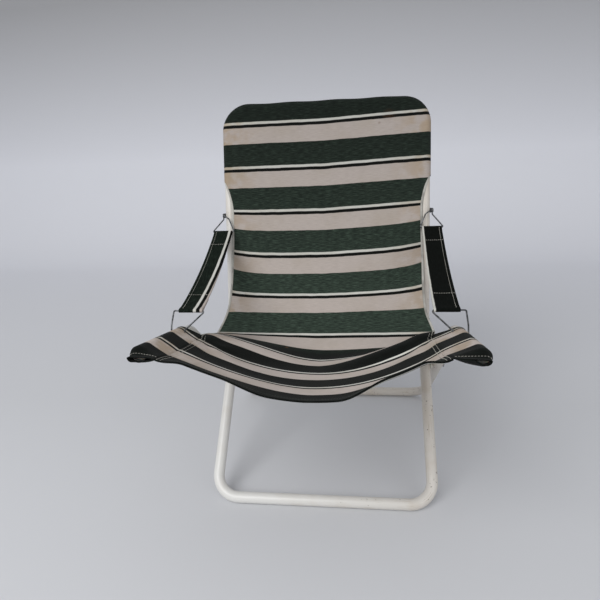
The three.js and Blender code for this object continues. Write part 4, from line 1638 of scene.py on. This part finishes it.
    def surface(self, share: Array, along: Array) -> Array:
        """Points of the canvas below the pocket, and of the seat between its sleeve seams.

        Args:
            share: From -1 at the left edge to 1 at the right.
            along: Stripe coordinates, in the same shape.

        Returns:
            The points, with XYZ last.
        """
        centre = self.middle(along)
        left = share < 0
        edge = np.where(left[..., None], self.free_edge(along, Side.LEFT), self.free_edge(along, Side.RIGHT))
        half, side = edge[..., 0], edge[..., 1:]
        out = np.abs(share)
        past_ridge = self.past_ridge(along)
        left_power = 1.8 + 0.3 * self.left_fuller(along) - 0.5 * self.left_flatter(along)
        middle_power = np.where(left, left_power, 1.6 + 0.5 * past_ridge)
        side_power = np.where(left, 1.95 - 0.9 * self.left_eased(along), 1.35 - 0.35 * past_ridge)
        hung = 1 - (1 - np.minimum(out, 1.0) ** middle_power) ** side_power
        seated = self.seated(along)
        lift = (out**5 * (1 - seated) + hung * seated)[..., None]
        profile = centre + (side - centre) * lift
        wrap = np.clip(out * half - PLAN.leg_half, 0.0, self.stand_off) * (along < self.wrap_end)
        back = self.stand_off - np.sqrt(np.maximum(self.stand_off**2 - wrap**2, 0.0))
        profile = profile - PLAN.rail_front * back[..., None]
        drawn = (1 - self.drawn_half(out)) * self._towards_hem(along, self.drawn_from) ** 2
        profile = profile + np.stack([self.hem_draw * drawn, np.zeros_like(drawn)], axis=-1)
        height = profile[..., 1] + self._front_lift(share, along)
        return np.stack([share * half, profile[..., 0], height], axis=-1)

    def _towards_hem(self, along: Array, start: Array | float) -> Array:
        """The share of the way from a start to the front hem, and a little past it."""
        return np.clip((along - start) / (self.hem - start), 0.0, 1.2)

    def _front_lift(self, share: Array, along: Array) -> Array:
        """How far the taut hem lifts the front of the seat at its sides.

        Args:
            share: From -1 at the left edge to 1 at the right.
            along: Stripe coordinates.

        Returns:
            The rise in millimetres.
        """
        out = np.abs(share)
        beside = self.lift_in(out) * (1 - self.lift_out(out))
        height = np.where(share < 0, *self.lifts)
        start = np.where(share < 0, *self.lifted_from)
        return height * beside * self._towards_hem(along, start) ** 1.5

    def askew_by(self, share: Array, along: Array) -> Array:
        """How much later in the stripes a place falls because the canvas hangs askew."""
        return self.askew * np.clip(share, 0.0, 1.0) * (1 - self.straight(along))


def cubic(x: Array, xs: Array, ys: Array) -> Array:
    """A smooth curve through points, calmed where it turns back.

    Args:
        x: Where it is wanted.
        xs: The points' places, rising.
        ys: The points' values.

    Returns:
        The values.
    """
    steps, rises = np.diff(xs), np.diff(ys)
    slopes = rises / steps
    between = (slopes[:-1] * steps[1:] + slopes[1:] * steps[:-1]) / (steps[:-1] + steps[1:])
    tangents = np.concatenate([[slopes[0]], between, [slopes[-1]]])
    turned = slopes[:-1] * slopes[1:] <= 0
    tangents[1:-1][turned] *= 0.35
    k = np.clip(np.searchsorted(xs, x, side="right") - 1, 0, len(steps) - 1)
    t = (x - xs[k]) / steps[k]
    h = steps[k]
    return (
        (2 * t**3 - 3 * t**2 + 1) * ys[k]
        + (t**3 - 2 * t**2 + t) * h * tangents[k]
        + (3 * t**2 - 2 * t**3) * ys[k + 1]
        + (t**3 - t**2) * h * tangents[k + 1]
    )


@dataclass
class Sling:
    """The sling: the long panel with its head pocket, the arm sleeves, and their bindings and stitches."""

    shop: Workshop
    shape: SlingShape
    cloth: float = 1.0
    # Soft waves below the pocket, and creases that fan out from where the sleeve seams start.
    sag_height: float = 0.9
    below_pocket: Ramp = Ramp(190.0, 120.0)
    pull_height: float = 1.6
    pull_share: float = 0.95
    pull_half: float = 230.0
    pull_reach: float = 100.0
    pull_clear: float = 30.0
    # How far in from its rim the pocket is full, and how far above its foot it goes flat.
    belly_reach: float = 60.0
    foot_fade: float = 50.0
    pocket_rows: int = 40
    row_step: float = 6.0
    columns: int = 116
    hem_turn: float = 20.0
    hem_fold: float = 2.0
    hem_depth: float = 2.2
    hem_bulge: float = 1.2
    tape_width: float = 5.2
    tape_rise: float = 1.3
    tape_overhang: float = 0.8
    tape_facets: int = 14
    tape_from: float = 192.0
    tape_stop: float = 22.0
    tape_step: float = 5.0
    tape_inner: float = 0.97
    stitch_step: float = 3.0
    tape_row_from: float = 196.0
    tape_row_stop: float = 10.0
    seam_row_start: float = 24.0
    seam_insets: tuple[float, float] = (2.5, 8.0)
    hem_row: float = 14.0
    sleeve_slant: float = 22.0
    slant_ramp: Ramp = Ramp(-60.0, 56.0)
    past_tube: Ramp = Ramp(6.0, 14.0)
    sleeve_ends: tuple[float, float] = (-4.0, -216.5)
    sleeve_rows: int = 44
    under_points: int = 6
    hem_stitch: Stitch = Stitch(4.2, 3.6, 0.6, 7)
    panel_stitch: Stitch = Stitch(4.6, 3.6, 0.9, 3)
    rear_longer: float = 6.0
    blend_start: tuple[float, float] = (270.0, 500.0)
    blend_end: tuple[float, float] = (40.0, 360.0)

    def build(self) -> None:
        """Builds the panel, the sleeves and their trims."""
        self.canvas = StripedCanvas(
            # The panel has shade and light painted along its length.
            painted_shading=True,
            stains=(
                Stain(-80.0, 630.0, 5.0, 0.8),
                Stain(150.0, 60.0, 18.0, 0.2),
                Stain(128.0, 75.0, 4.0, 0.4),
                Stain(-190.0, 690.0, 12.0, 0.2),
            ),
        ).material()
        self.hem_canvas = StripedCanvas(name="hem_canvas", first_mm=-4.0, deep=0.7).material()
        self._panel()
        for side in Side:
            self._sleeve(side)
        self._bindings()
        self._stitching()

    def _bent(self, obj: Object) -> Object:
        """Bakes a piece's place into its mesh and logs it.

        Args:
            obj: The finished piece.

        Returns:
            The same piece.
        """
        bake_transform(obj)
        LOG.info("%s bends between the frames: %d faces", obj.name, len(obj.data.polygons))
        return obj

    def _panel(self) -> None:
        """The one length of canvas: the pocket's rear and front, the back, the seat and the turned hem."""
        shape = self.shape
        xs, rear, front, rear_along, front_along = self._pocket()
        shares = xs / shape.pocket_half
        foot = float(front_along[-1, len(xs) // 2])
        last = shape.hem - self.hem_fold
        rows = np.append(np.arange(foot + 4.0, last - 1.0, self.row_step), [last, shape.hem])
        share, along = np.meshgrid(shares, rows)
        panel = self._cloth(share, along)
        turned = np.arange(last, shape.hem - self.hem_turn, -self.row_step)
        low_share, low_along = np.meshgrid(shares, turned)
        under = self._cloth(low_share, low_along, -self.hem_depth)
        onward = unit(panel[-1, len(xs) // 2] - panel[-3, len(xs) // 2])
        rim = (panel[-1] + under[0]) / 2 + onward * self.hem_bulge
        points = np.vstack([rear, front, panel, rim[None], under])
        half = (shape.free_edge(rows, Side.LEFT)[:, 0] + shape.free_edge(rows, Side.RIGHT)[:, 0]) / 2
        pieces = [
            (np.broadcast_to(shares, rear_along.shape), rear_along, shape.pocket_half),
            (np.broadcast_to(shares, front_along.shape), front_along, shape.pocket_half),
            (share, along, half[:, None]),
            (shares[None], np.full((1, len(xs)), shape.hem + 1.0), half[-1]),
            (low_share, 2 * shape.hem - low_along, half[-1]),
        ]
        uv = [np.stack([part * wide, run + shape.askew_by(part, run)], axis=-1) for part, run, wide in pieces]
        obj = grid_object("sling_panel", points, np.vstack(uv))
        obj.data.materials.append(self.canvas)
        thicken(obj, self.cloth)
        self._bent(obj)
        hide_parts("sling_back", "sling_seat", "head_pocket")
        pocket = foot - float(rear_along[0, len(xs) // 2])
        area = 2 * shape.pocket_half * pocket + 2 * float(half[-1]) * self.hem_turn
        area += float(np.sum((half[1:] + half[:-1]) * np.diff(rows)))

    def _cloth(self, share: Array, along: Array, lift: float = 0.0) -> Array:
        """The hung cloth with its soft pulls and creases.

        Args:
            share: From -1 at the left edge to 1 at the right.
            along: Stripe coordinates, in the same shape.
            lift: Height above the cloth's middle surface.

        Returns:
            The points.
        """
        surface = self.shape.surface
        across = surface(share + 0.004, along) - surface(share - 0.004, along)
        down = surface(share, along + 1.0) - surface(share, along - 1.0)
        normals = unit(np.cross(down, across))
        sag = np.sin(along / 37.0 + 1.3 * share) * np.sin(2.6 * share + along / 90.0)
        inside = 1 - np.minimum(np.abs(share), 1.0) ** 3
        height = self.sag_height * sag * inside * self.below_pocket(along)
        past = along - self.shape.sleeve_rear
        for sign in (-1.0, 1.0):
            beyond = (share * sign - self.pull_share) * self.pull_half
            away = np.hypot(beyond, past)
            pull = np.exp(-((away / self.pull_reach) ** 2)) * (1 - np.exp(-((away / self.pull_clear) ** 2)))
            height = height + self.pull_height * pull * np.sin(6.0 * np.arctan2(past, beyond) + 0.8 * sign)
        return surface(share, along) + normals * (height + lift)[..., None]

    def _pocket(self) -> tuple[Array, Array, Array, Array, Array]:
        """The head pocket's two layers, which meet over the head bar and down the sides.

        Returns:
            The columns' places across, the points of the rear layer from its hem up and of the front layer
            down, and the stripe coordinates of each.
        """
        shape = self.shape
        radius, corner, half = shape.stand_off, shape.pocket_corner, shape.pocket_half
        xs = half * np.sin(np.linspace(-0.499, 0.499, self.columns + 1) * math.pi)
        past = np.clip(np.abs(xs) - (half - corner), 0.0, corner)
        crown = corner - radius - np.sqrt(np.maximum(corner**2 - past**2, 0.0))
        ramp = 1 - np.cos(np.linspace(0.0, math.pi / 2, self.pocket_rows))[:, None]
        front_below = crown + (PLAN.pocket_depth + PLAN.clearance - crown) * ramp
        rear_below = crown + (PLAN.pocket_depth + self.rear_longer - crown) * ramp
        stripes, arcs = shape.marks
        layers, alongs = [], []
        for below, facing in ((rear_below, -1.0), (front_below, 1.0)):
            over_bar = radius * np.arccos(np.clip(-below / radius, -1, 1))
            around = np.where(below >= 0, radius * math.pi / 2 + below, over_bar)
            layers.append(self._bag_layer(xs, below, facing))
            alongs.append(np.interp(facing * around, arcs, stripes))
        return xs, layers[0][::-1], layers[1][1:], alongs[0][::-1], alongs[1][1:]

    def _bag_layer(self, xs: Array, below: Array, facing: float) -> Array:
        """One layer of the pocket.

        Args:
            xs: The columns' places across.
            below: Distance below the head bar's middle of each point, rows by columns.
            facing: 1 for the front layer and -1 for the rear one.

        Returns:
            The layer's points.
        """
        shape = self.shape
        radius, corner, half = shape.stand_off, shape.pocket_corner, shape.pocket_half
        x = np.broadcast_to(xs, below.shape)
        across, down = np.abs(x) - (half - corner), (corner - radius) - below
        in_corner = (across > 0) & (down > 0)
        from_sides = np.minimum(half - np.abs(x), below + radius)
        inward = np.maximum(np.where(in_corner, corner - np.hypot(across, down), from_sides), 0.0)
        rounded = np.sqrt(np.maximum(radius**2 - np.maximum(radius - inward, 0.0) ** 2, 0.0))
        belly = smooth((inward - radius) / self.belly_reach)
        lump = 0.8 * np.sin(x / 21.0 + facing) * np.sin(below / 33.0) + 0.6 * np.sin(x / 47.0)
        if facing > 0:
            fade = smooth((PLAN.pocket_depth - below) / self.foot_fade)
            swell = (1.8 + 0.6 * lump) * belly * fade
        else:
            swell = (-5.5 + 1.2 * lump) * belly
        out = rounded + swell
        base = PLAN.head_bar[None, None, :] - PLAN.rail_up * below[..., None]
        profile = base + PLAN.rail_front * (facing * out)[..., None]
        ridge = 0.7 * np.sin(x / 17.0) * np.exp(-(((below + radius) / 14.0) ** 2))
        profile = profile + PLAN.rail_up * ridge[..., None]
        return np.stack([x, profile[..., 0], profile[..., 1]], axis=-1)

    def _sleeve(self, side: Side) -> None:
        """One arm sleeve: cloth folded over the seat arm and sewn back to the panel's edge.

        Args:
            side: The side of the chair.
        """
        shape = self.shape
        rear, mouth = self.sleeve_ends
        ys = np.linspace(rear, mouth, self.sleeve_rows)
        seam = PLAN.seat_half - shape.seam_half(side)
        loops, uvs = [], []
        for y in ys:
            past_tube = float(self.past_tube(PLAN.arm_end[0] - y))
            loop, flat = self._sleeve_loop(side, seam, -float(shape.seam_drop(side, y)), past_tube, y)
            centre = np.array([y, PLAN.arm_height(y)])
            slanted = self.sleeve_slant * float(self.slant_ramp(y))
            slant = [slanted * float(smooth(-x / seam)) for x, _ in loop]
            ring = [
                at(side.value * (PLAN.seat_half + x), centre + PLAN.arm_up * n - PLAN.arm_front * back)
                for (x, n), back in zip(loop, slant)
            ]
            loops.append(ring)
            runs = np.interp([back - y for back in np.multiply(-1.0, slant)], *self._stripes_by_y())
            uvs.append(list(zip([shape.seam_half(side) + f for f in flat], [*runs, runs[0]])))
        points, uv = np.array(loops), np.array(uvs)
        count = points.shape[1] - self.under_points
        outward = points[0] - points[0, :count].mean(axis=0)
        rim = self._tape(
            f"sleeve_hem_{side.label}",
            points[0, :count],
            points[1, :count],
            outward[:count],
            side is Side.LEFT,
            self.hem_canvas,
        )
        carried(rim, "seat_frame", "striped_canvas")
        self._sleeve_stitches(side, points)
        if side is Side.LEFT:
            points, uv = points[:, ::-1], np.concatenate([uv[:, -2::-1], uv[:, -2:-1]], axis=1)
        sleeve = grid_object(f"arm_sleeve_cloth_{side.label}", points, uv, ring=True)
        sleeve.data.materials.append(self.canvas)
        thicken(sleeve, self.cloth)
        carried(sleeve, "seat_frame", "striped_canvas", f"arm_sleeve_{side.label}")

    def _sleeve_stitches(self, side: Side, points: Array) -> None:
        """The row of stitches that holds the hem behind a sleeve's mouth.

        Args:
            side: The side of the chair.
            points: The sleeve's surface points, from its rear to its mouth.
        """
        upper = points[-6:, 1:27]
        normals = surface_normals(upper)
        away = upper - points[-6:].mean(axis=1, keepdims=True)
        normals = normals * np.sign(np.sum(normals * away, axis=-1, keepdims=True))
        rows = [upper[2] + normals[2] * 0.8]
        stitches = self.shop.sew(f"sleeve_stitches_{side.label}", rows, self.hem_stitch, self.shop.thread)
        carried(stitches, "seat_frame", "striped_canvas")

    def _stripes_by_y(self) -> tuple[Array, Array]:
        """Places along the seat's middle, as distance forward, and the stripe coordinate at each."""
        along = np.linspace(self.shape.sleeve_rear - 60.0, self.shape.hem, 120)
        return -self.shape.middle(along)[:, 0], along

    def _sleeve_loop(
        self, side: Side, seam: float, low: float, past: float, y: float
    ) -> tuple[list[tuple[float, float]], list[float]]:
        """The sleeve's outline at one place, from its seam over the arm and back under it.

        Args:
            side: The side of the chair.
            seam: How far inboard of the tube the seam is.
            low: The seam's height against the tube's middle line.
            past: 0 over the tube to 1 at the mouth, where the sleeve flattens and its outer fold turns sharp.
            y: The place along the chair.

        Returns:
            The outline as (outward, up) pairs, and the flat distance of each and of the closing point from
            the seam.
        """
        radius, upper, lower = self.shape.stand_off, 1.0 - 0.95 * past, 1.0 - 0.5 * past
        tip = np.array([-seam, low / (lower if low < 0 else upper)])
        reach = float(np.linalg.norm(tip))
        tilt = math.atan2(tip[1], tip[0])
        contact = math.acos(radius / reach)
        arc = np.linspace(tilt - contact, tilt + contact - 2 * math.pi, 30)
        ring = np.stack([np.cos(arc), np.sin(arc)], axis=-1) * radius
        shares = np.linspace(0.0, 1.0, 9)[:-1]
        bow = np.sin(shares * math.pi)
        sides = []
        upper_slack, lower_slack = 0.6 * math.sin(y / 23.0), -1.5 - 0.6 * math.sin(y / 19.0)
        for end, sign, slack in ((ring[0], 0.9, upper_slack), (ring[-1], -0.9, lower_slack)):
            start = tip + np.array([0.5, sign])
            side = start + (end - start) * shares[:, None]
            side[:, 1] += slack * bow
            sides.append(side)
        outline = np.vstack([sides[0], ring, sides[1][::-1]])
        outer = np.clip(outline[:, 0] / radius, 0.0, 1.0)
        scale = np.where(outline[:, 1] > 0, upper, lower)
        pointed = np.sign(outline[:, 1]) * radius * (1.0 - outer**1.6)
        lens = np.where(outer > 0, pointed, outline[:, 1]) * scale
        outline[:, 1] = outline[:, 1] * scale * (1.0 - past) + lens * past
        outline[:, 0] += (2.0 if side is Side.LEFT else -6.0) * past * outer**2
        return [tuple(p) for p in outline], distances(np.vstack([outline, outline[:1]])).tolist()

    def _bindings(self) -> None:
        """The folded tape that binds each free edge of the panel."""
        along = np.arange(self.tape_from, self.shape.sleeve_rear - self.tape_stop, self.tape_step)
        for side in Side:
            edge = self._cloth(np.full(len(along), side.value * 1.0), along)
            inner = self._cloth(np.full(len(along), side.value * self.tape_inner), along)
            halfway = np.full(len(along), side.value * (1 + self.tape_inner) / 2)
            above = self._cloth(halfway, along, 1.0) - (edge + inner) / 2
            turned = side is Side.RIGHT
            self._bent(self._tape(f"edge_tape_{side.label}", edge, inner, above, turned, self.shop.tape))

    def _tape(
        self, name: str, edge: Array, inner: Array, above: Array, turned: bool, material: Material
    ) -> Object:
        """A tape folded round an edge.

        Args:
            name: The piece's name.
            edge: Points along the edge.
            inner: Points a little way in from the edge.
            above: Vectors out of the cloth's outer side.
            turned: Whether the section is laid the other way round, so that it faces outward.
            material: What the tape is made of.

        Returns:
            The tape.
        """
        inward = unit(inner - edge)
        above = unit(above - inward * np.sum(above * inward, axis=1, keepdims=True))
        rings = []
        for k in range(self.tape_facets):
            angle = 2 * math.pi * k / self.tape_facets
            flat, thick = math.cos(angle), math.sin(angle)
            flat = math.copysign(abs(flat) ** 0.7, flat)
            reach = self.tape_width / 2 * (1 + flat) - self.tape_overhang
            rings.append(edge + inward * reach + above * (self.tape_rise * thick))
        points = np.stack(rings[::-1] if turned else rings, axis=1)
        across, along = np.meshgrid(np.arange(self.tape_facets + 1.0), np.arange(float(len(edge))))
        tape = grid_object(name, points, np.stack([across, along], axis=-1), ring=True)
        tape.data.materials.append(material)
        return tape

    def _stitching(self) -> None:
        """The rows of stitches: on the edge tape, along the sleeve seams and along the front hem."""
        shape = self.shape
        free = np.arange(self.tape_row_from, shape.sleeve_rear - self.tape_row_stop, self.stitch_step)
        seam = np.arange(shape.sleeve_rear - self.seam_row_start, shape.hem - 1.0, self.stitch_step)
        routes = []
        for side in Side:
            half = shape.free_edge(free, side)[:, 0]
            inside = side.value * (half - self.tape_width + 2.0) / half
            routes.append(self._cloth(inside, free, self.tape_rise + 0.2))
            for inset in self.seam_insets:
                share = np.full(len(seam), side.value * (1 - inset / shape.seam_half(side)))
                routes.append(self._cloth(share, seam, 0.9))
        across = np.linspace(-0.97, 0.97, 140)
        hem = [self._cloth(across, np.full(len(across), shape.hem - self.hem_row), 0.8)]
        self._bent(self.shop.sew("panel_stitches", routes, self.panel_stitch, self.shop.thread))
        self._bent(self.shop.sew("hem_stitches", hem, self.panel_stitch, self.shop.dark_thread))


def surface_normals(points: Array) -> Array:
    """The unit normals of a grid of points, out of its front or upper side.

    Args:
        points: Rows down the cloth by columns across it, with XYZ last.

    Returns:
        The normal at each point.
    """
    down = np.gradient(points, axis=0)
    across = np.gradient(points, axis=1)
    return unit(np.cross(down, across))


# The armrest straps


@dataclass
class ArmrestStraps:
    """The two armrest straps of doubled canvas, looped round the bails' bars and cross-stitched."""

    shop: Workshop
    bails: WireBails
    upper_width: float = 44.0
    lower_width: float = 47.0
    ply: float = 1.6
    sag: float = 12.0
    turn_back: float = 50.0
    loop_radius: float = 2.9
    closed: Ramp = Ramp(0.0, 16.0)
    half_gap: float = 0.9
    row_margin: float = 8.0
    cross_rows: tuple[float, float] = (6.0, 15.5)
    squash_keep: float = 0.14
    stripe_skew: float = 9.0
    stripe_span: float = 46.0
    columns: int = 17
    stitch: Stitch = Stitch(4.2, 3.3, 0.9, 5)

    def build(self) -> None:
        """Builds the strap and the stitches of each side."""
        for side in Side:
            self._strap(side)

    def _path(self) -> tuple[Array, Array, Array]:
        """The strap's side profile, round both bars, with its ends turned back below.

        Returns:
            The (y, z) points, the flat distance along and the share from the upper bar to the lower.
        """
        upper, lower = self.bails.upper_bar, self.bails.lower_bar
        middle = (upper + lower) / 2 + heading(270) * 2 * self.sag
        t = np.linspace(0.0, 1.0, 60)[:, None]
        line = (1 - t) ** 2 * upper + 2 * t * (1 - t) * middle + t * t * lower
        tangents = unit(np.gradient(line, axis=0))
        ups = np.stack([-tangents[:, 1], tangents[:, 0]], axis=1)
        ups = ups * np.sign(ups[:, 1:2])
        reach = self.loop_radius
        lengths = distances(line)
        total = lengths[-1]
        closed = self.closed(np.minimum(lengths, total - lengths))
        gap = (reach * (1 - closed) + self.half_gap * closed)[:, None]
        top, under = line + ups * gap, line - ups * gap

        def around(centre: Array, start: Array, end: Array, outward: Array) -> Array:
            """An arc round a bar from one point to another.

            Args:
                centre: The bar's middle.
                start: Where the arc starts.
                end: Where it ends.
                outward: The side of the bar that it passes.

            Returns:
                The arc's points without its ends.
            """
            a0 = math.atan2(*(start - centre)[::-1])
            a1 = math.atan2(*(end - centre)[::-1])
            mid = math.atan2(outward[1], outward[0])
            angles = []
            for goal in (mid, a1):
                base = angles[-1] if angles else a0
                step = (goal - base + math.pi) % (2 * math.pi) - math.pi
                angles += list(base + step * np.linspace(0.0, 1.0, 7))[0 if not angles else 1 :]
            return np.array([centre + reach * ray(a) for a in angles])[1:-1]

        head = under[lengths < self.turn_back][::-1]
        tail = under[lengths > total - self.turn_back][::-1]
        first = around(upper, under[0], top[0], -tangents[0])
        last = around(lower, top[-1], under[-1], tangents[-1])
        path = np.vstack([head, first, top, last, tail])
        flat = distances(path)
        share = ((path - upper) @ (lower - upper)) / float((lower - upper) @ (lower - upper))
        return path, flat, share

    def _strap(self, side: Side) -> None:
        """One strap with its stitches.

        Args:
            side: The side of the chair.
        """
        path, flat, share = self._path()
        upper_x = PLAN.leg_half + self.bails.upper_centre
        shift = (self.bails.lower_length - self.bails.upper_length) / 4
        lower_x = PLAN.seat_half - self.bails.lower_centre - shift
        share = np.clip(share, 0.0, 1.0)
        centre = upper_x + (lower_x - upper_x) * share
        width = self.upper_width + (self.lower_width - self.upper_width) * share
        across = np.linspace(-0.5, 0.5, self.columns)
        x = centre[:, None] + width[:, None] * across
        dip = 1.2 * np.sin(share * math.pi)[:, None] * (1 - (2 * across) ** 2)
        y, run = (np.repeat(line[:, None], self.columns, axis=1) for line in (path[:, 0], flat))
        points = np.stack([side.value * x, y, path[:, 1:2] - dip], axis=-1)
        askew = (self.stripe_skew if side is Side.LEFT else 0.0) * (1.0 - share)
        uv = np.stack([(0.5 - across) * self.stripe_span - askew[:, None], run], axis=-1)
        if side is Side.RIGHT:
            points, uv = points[:, ::-1], uv[:, ::-1]
        strap = grid_object(f"armrest_cloth_{side.label}", points, uv)
        strap.data.materials.append(self._canvas(side))
        thicken(strap, self.ply)
        body = f"armrest_strap_{side.label}"
        self._gather(strap)
        carried(strap, body, "striped_canvas", body)
        self._stitches(side, flat, points)

    def _canvas(self, side: Side) -> Material:
        """The strap's cut of the canvas, its stripes lengthwise.

        Args:
            side: The side of the chair; each strap is cut from another part of the repeat, and the right
                one's dark stripe and heather are painted near black as painted shade.

        Returns:
            The material.
        """
        cut = {"name": f"strap_canvas_{side.label}", "along_u": True, "lustre": 0.02}
        if side is Side.LEFT:
            return StripedCanvas(first_mm=-24.6, deep=0.55, **cut).material()
        # Painted shade: the right strap's dark stripe and heather are near black.
        painted_shade_repeat = (Stripe(0.0, "#0D0F0D"), *CANVAS_REPEAT[1:])
        return StripedCanvas(repeat=painted_shade_repeat, heather="#171A18", first_mm=-10.0, **cut).material()

    def _gather(self, obj: Object) -> None:
        """Gives a piece of the strap its own copy of its mesh.

        Args:
            obj: The finished piece.
        """
        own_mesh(obj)

    def _stitches(self, side: Side, flat: Array, points: Array) -> None:
        """The cross stitches near both ends and the row along the outer edge.

        Args:
            side: The side of the chair.
            flat: The flat distance at each row of points.
            points: The strap's surface points.
        """
        normals = surface_normals(points)
        up = points + normals * np.sign(normals[..., 2:3]) * (self.ply / 2 + 0.3)
        total = float(flat[-1])
        margin = self.turn_back + self.row_margin
        top = np.where((flat > margin) & (flat < total - margin))[0]
        routes = []
        first, last = self.cross_rows
        for goal in (2 * self.turn_back + first, total - 2 * self.turn_back - last):
            routes.append(up[int(np.argmin(np.abs(flat - goal))), 1:-1])
        columns = (-3, -4) if side is Side.LEFT else (2, 3)
        routes.append(0.75 * up[top][:, columns[0]] + 0.25 * up[top][:, columns[1]])
        stitches = self.shop.sew(f"armrest_stitches_{side.label}", routes, self.stitch, self.shop.thread)
        self._gather(stitches)
        carried(stitches, f"armrest_strap_{side.label}", "striped_canvas")


# The studio


@dataclass
class Studio:
    """The pale floor and backdrop, the soft lights and the camera."""

    floor: str = "#D0D1D4"
    wall: str = "#E6E7EC"
    painted_wall_shade: str = "#A9A9AB"
    camera_place: tuple[float, float, float] = (0.0927, -0.8853, 0.7648)
    yaw: float = -0.1343
    pitch: float = 0.3236
    roll: float = -0.0484
    focal_share: float = 506.6182 / 600.0
    sky: float = 0.56
    floor_gap: float = 0.0004
    lit_point: tuple[float, float, float] = (0.0, 0.0, 0.35)
    film_mm: float = 36.0

    def build(self) -> None:
        """Builds the stage, the lights and the camera."""
        self._sweep()
        self._lights()
        self._camera()

    def _sweep(self) -> None:
        """The floor and the backdrop, one curved sheet."""
        half, front, back, height, bend = 4.5, -3.0, 2.5, 3.2, 0.7
        profile = [(front, 0.0), (back - bend, 0.0)]
        for angle in np.linspace(0.0, math.pi / 2, 12)[1:]:
            profile.append((back - bend + bend * math.sin(angle), bend - bend * math.cos(angle)))
        profile.append((back, height))
        mesh = bpy.data.meshes.new("studio_sweep")
        points = [(sign * half, y, z - self.floor_gap) for y, z in profile for sign in (-1, 1)]
        faces = [(2 * k, 2 * k + 1, 2 * k + 3, 2 * k + 2) for k in range(len(profile) - 1)]
        mesh.from_pydata(points, [], faces)
        mesh.polygons.foreach_set("use_smooth", [True] * len(mesh.polygons))
        sheet = in_scene("studio_sweep", mesh)
        material, tree = new_material("painted_board")
        place = add(tree, "ShaderNodeTexCoord").outputs["Object"]
        _, y, z = add(tree, "ShaderNodeSeparateXYZ", {0: place}).outputs
        far = add(tree, "ShaderNodeMapRange", {0: y, 1: 0.3, 2: 1.9})
        # Painted shade: the backdrop darker towards its top.
        high = add(tree, "ShaderNodeMapRange", {0: z, 1: 0.6, 2: 1.6})
        colour = layered(tree, srgb(self.floor), (far, self.wall, 1.0), (high, self.painted_wall_shade, 1.0))
        end_material(tree, {"Base Color": colour, "Roughness": 0.75, "Specular IOR Level": 0.25})
        mesh.materials.append(material)

    def _lights(self) -> None:
        """A broad soft window from the upper left, a weaker fill from the right, and an even sky."""
        world = bpy.data.worlds.new("soft_sky")
        world.use_nodes = True
        background = world.node_tree.nodes["Background"]
        background.inputs[0].default_value = srgb("#F4F6FA")
        background.inputs[1].default_value = self.sky
        bpy.context.scene.world = world
        for name, place, power, size in (
            ("window", (-1.4, -2.4, 2.4), 70.0, 2.2),
            ("fill", (1.9, -2.0, 1.5), 11.0, 2.0),
        ):
            lamp = bpy.data.lights.new(name, "AREA")
            lamp.energy, lamp.size = power, size
            obj = in_scene(name, lamp)
            obj.location = place
            aim = Vector(self.lit_point) - Vector(place)
            obj.rotation_euler = aim.to_track_quat("-Z", "Y").to_euler()

    def _camera(self) -> None:
        """The camera at the photograph's place."""
        data = bpy.data.cameras.new("camera")
        data.sensor_width = self.film_mm
        data.lens = self.focal_share * self.film_mm
        camera = in_scene("camera", data)
        flat = math.cos(self.pitch)
        forward = Vector((math.sin(self.yaw) * flat, math.cos(self.yaw) * flat, -math.sin(self.pitch)))
        level = Vector((math.cos(self.yaw), -math.sin(self.yaw), 0.0))
        upright = level.cross(forward)
        right = level * math.cos(self.roll) + upright * math.sin(self.roll)
        up = upright * math.cos(self.roll) - level * math.sin(self.roll)
        turn = Matrix((right, up, -forward)).transposed().to_4x4()
        x, y, z = self.camera_place
        camera.matrix_world = Matrix.Translation((x, y - PLAN.origin_setback * MM, z)) @ turn
        bpy.context.scene.camera = camera


def main() -> None:
    """Builds the chair and its studio."""
    logging.basicConfig(level=logging.INFO, format="%(name)s: %(message)s")
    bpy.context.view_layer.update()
    bpy.context.scene.view_settings.view_transform = "Standard"
    Studio().build()
    shop = Workshop()
    SteelFrames(shop).build()
    bails = WireBails(shop)
    bails.build()
    Sling(shop, SlingShape()).build()
    ArmrestStraps(shop, bails).build()


if __name__ == "__main__":
    main()
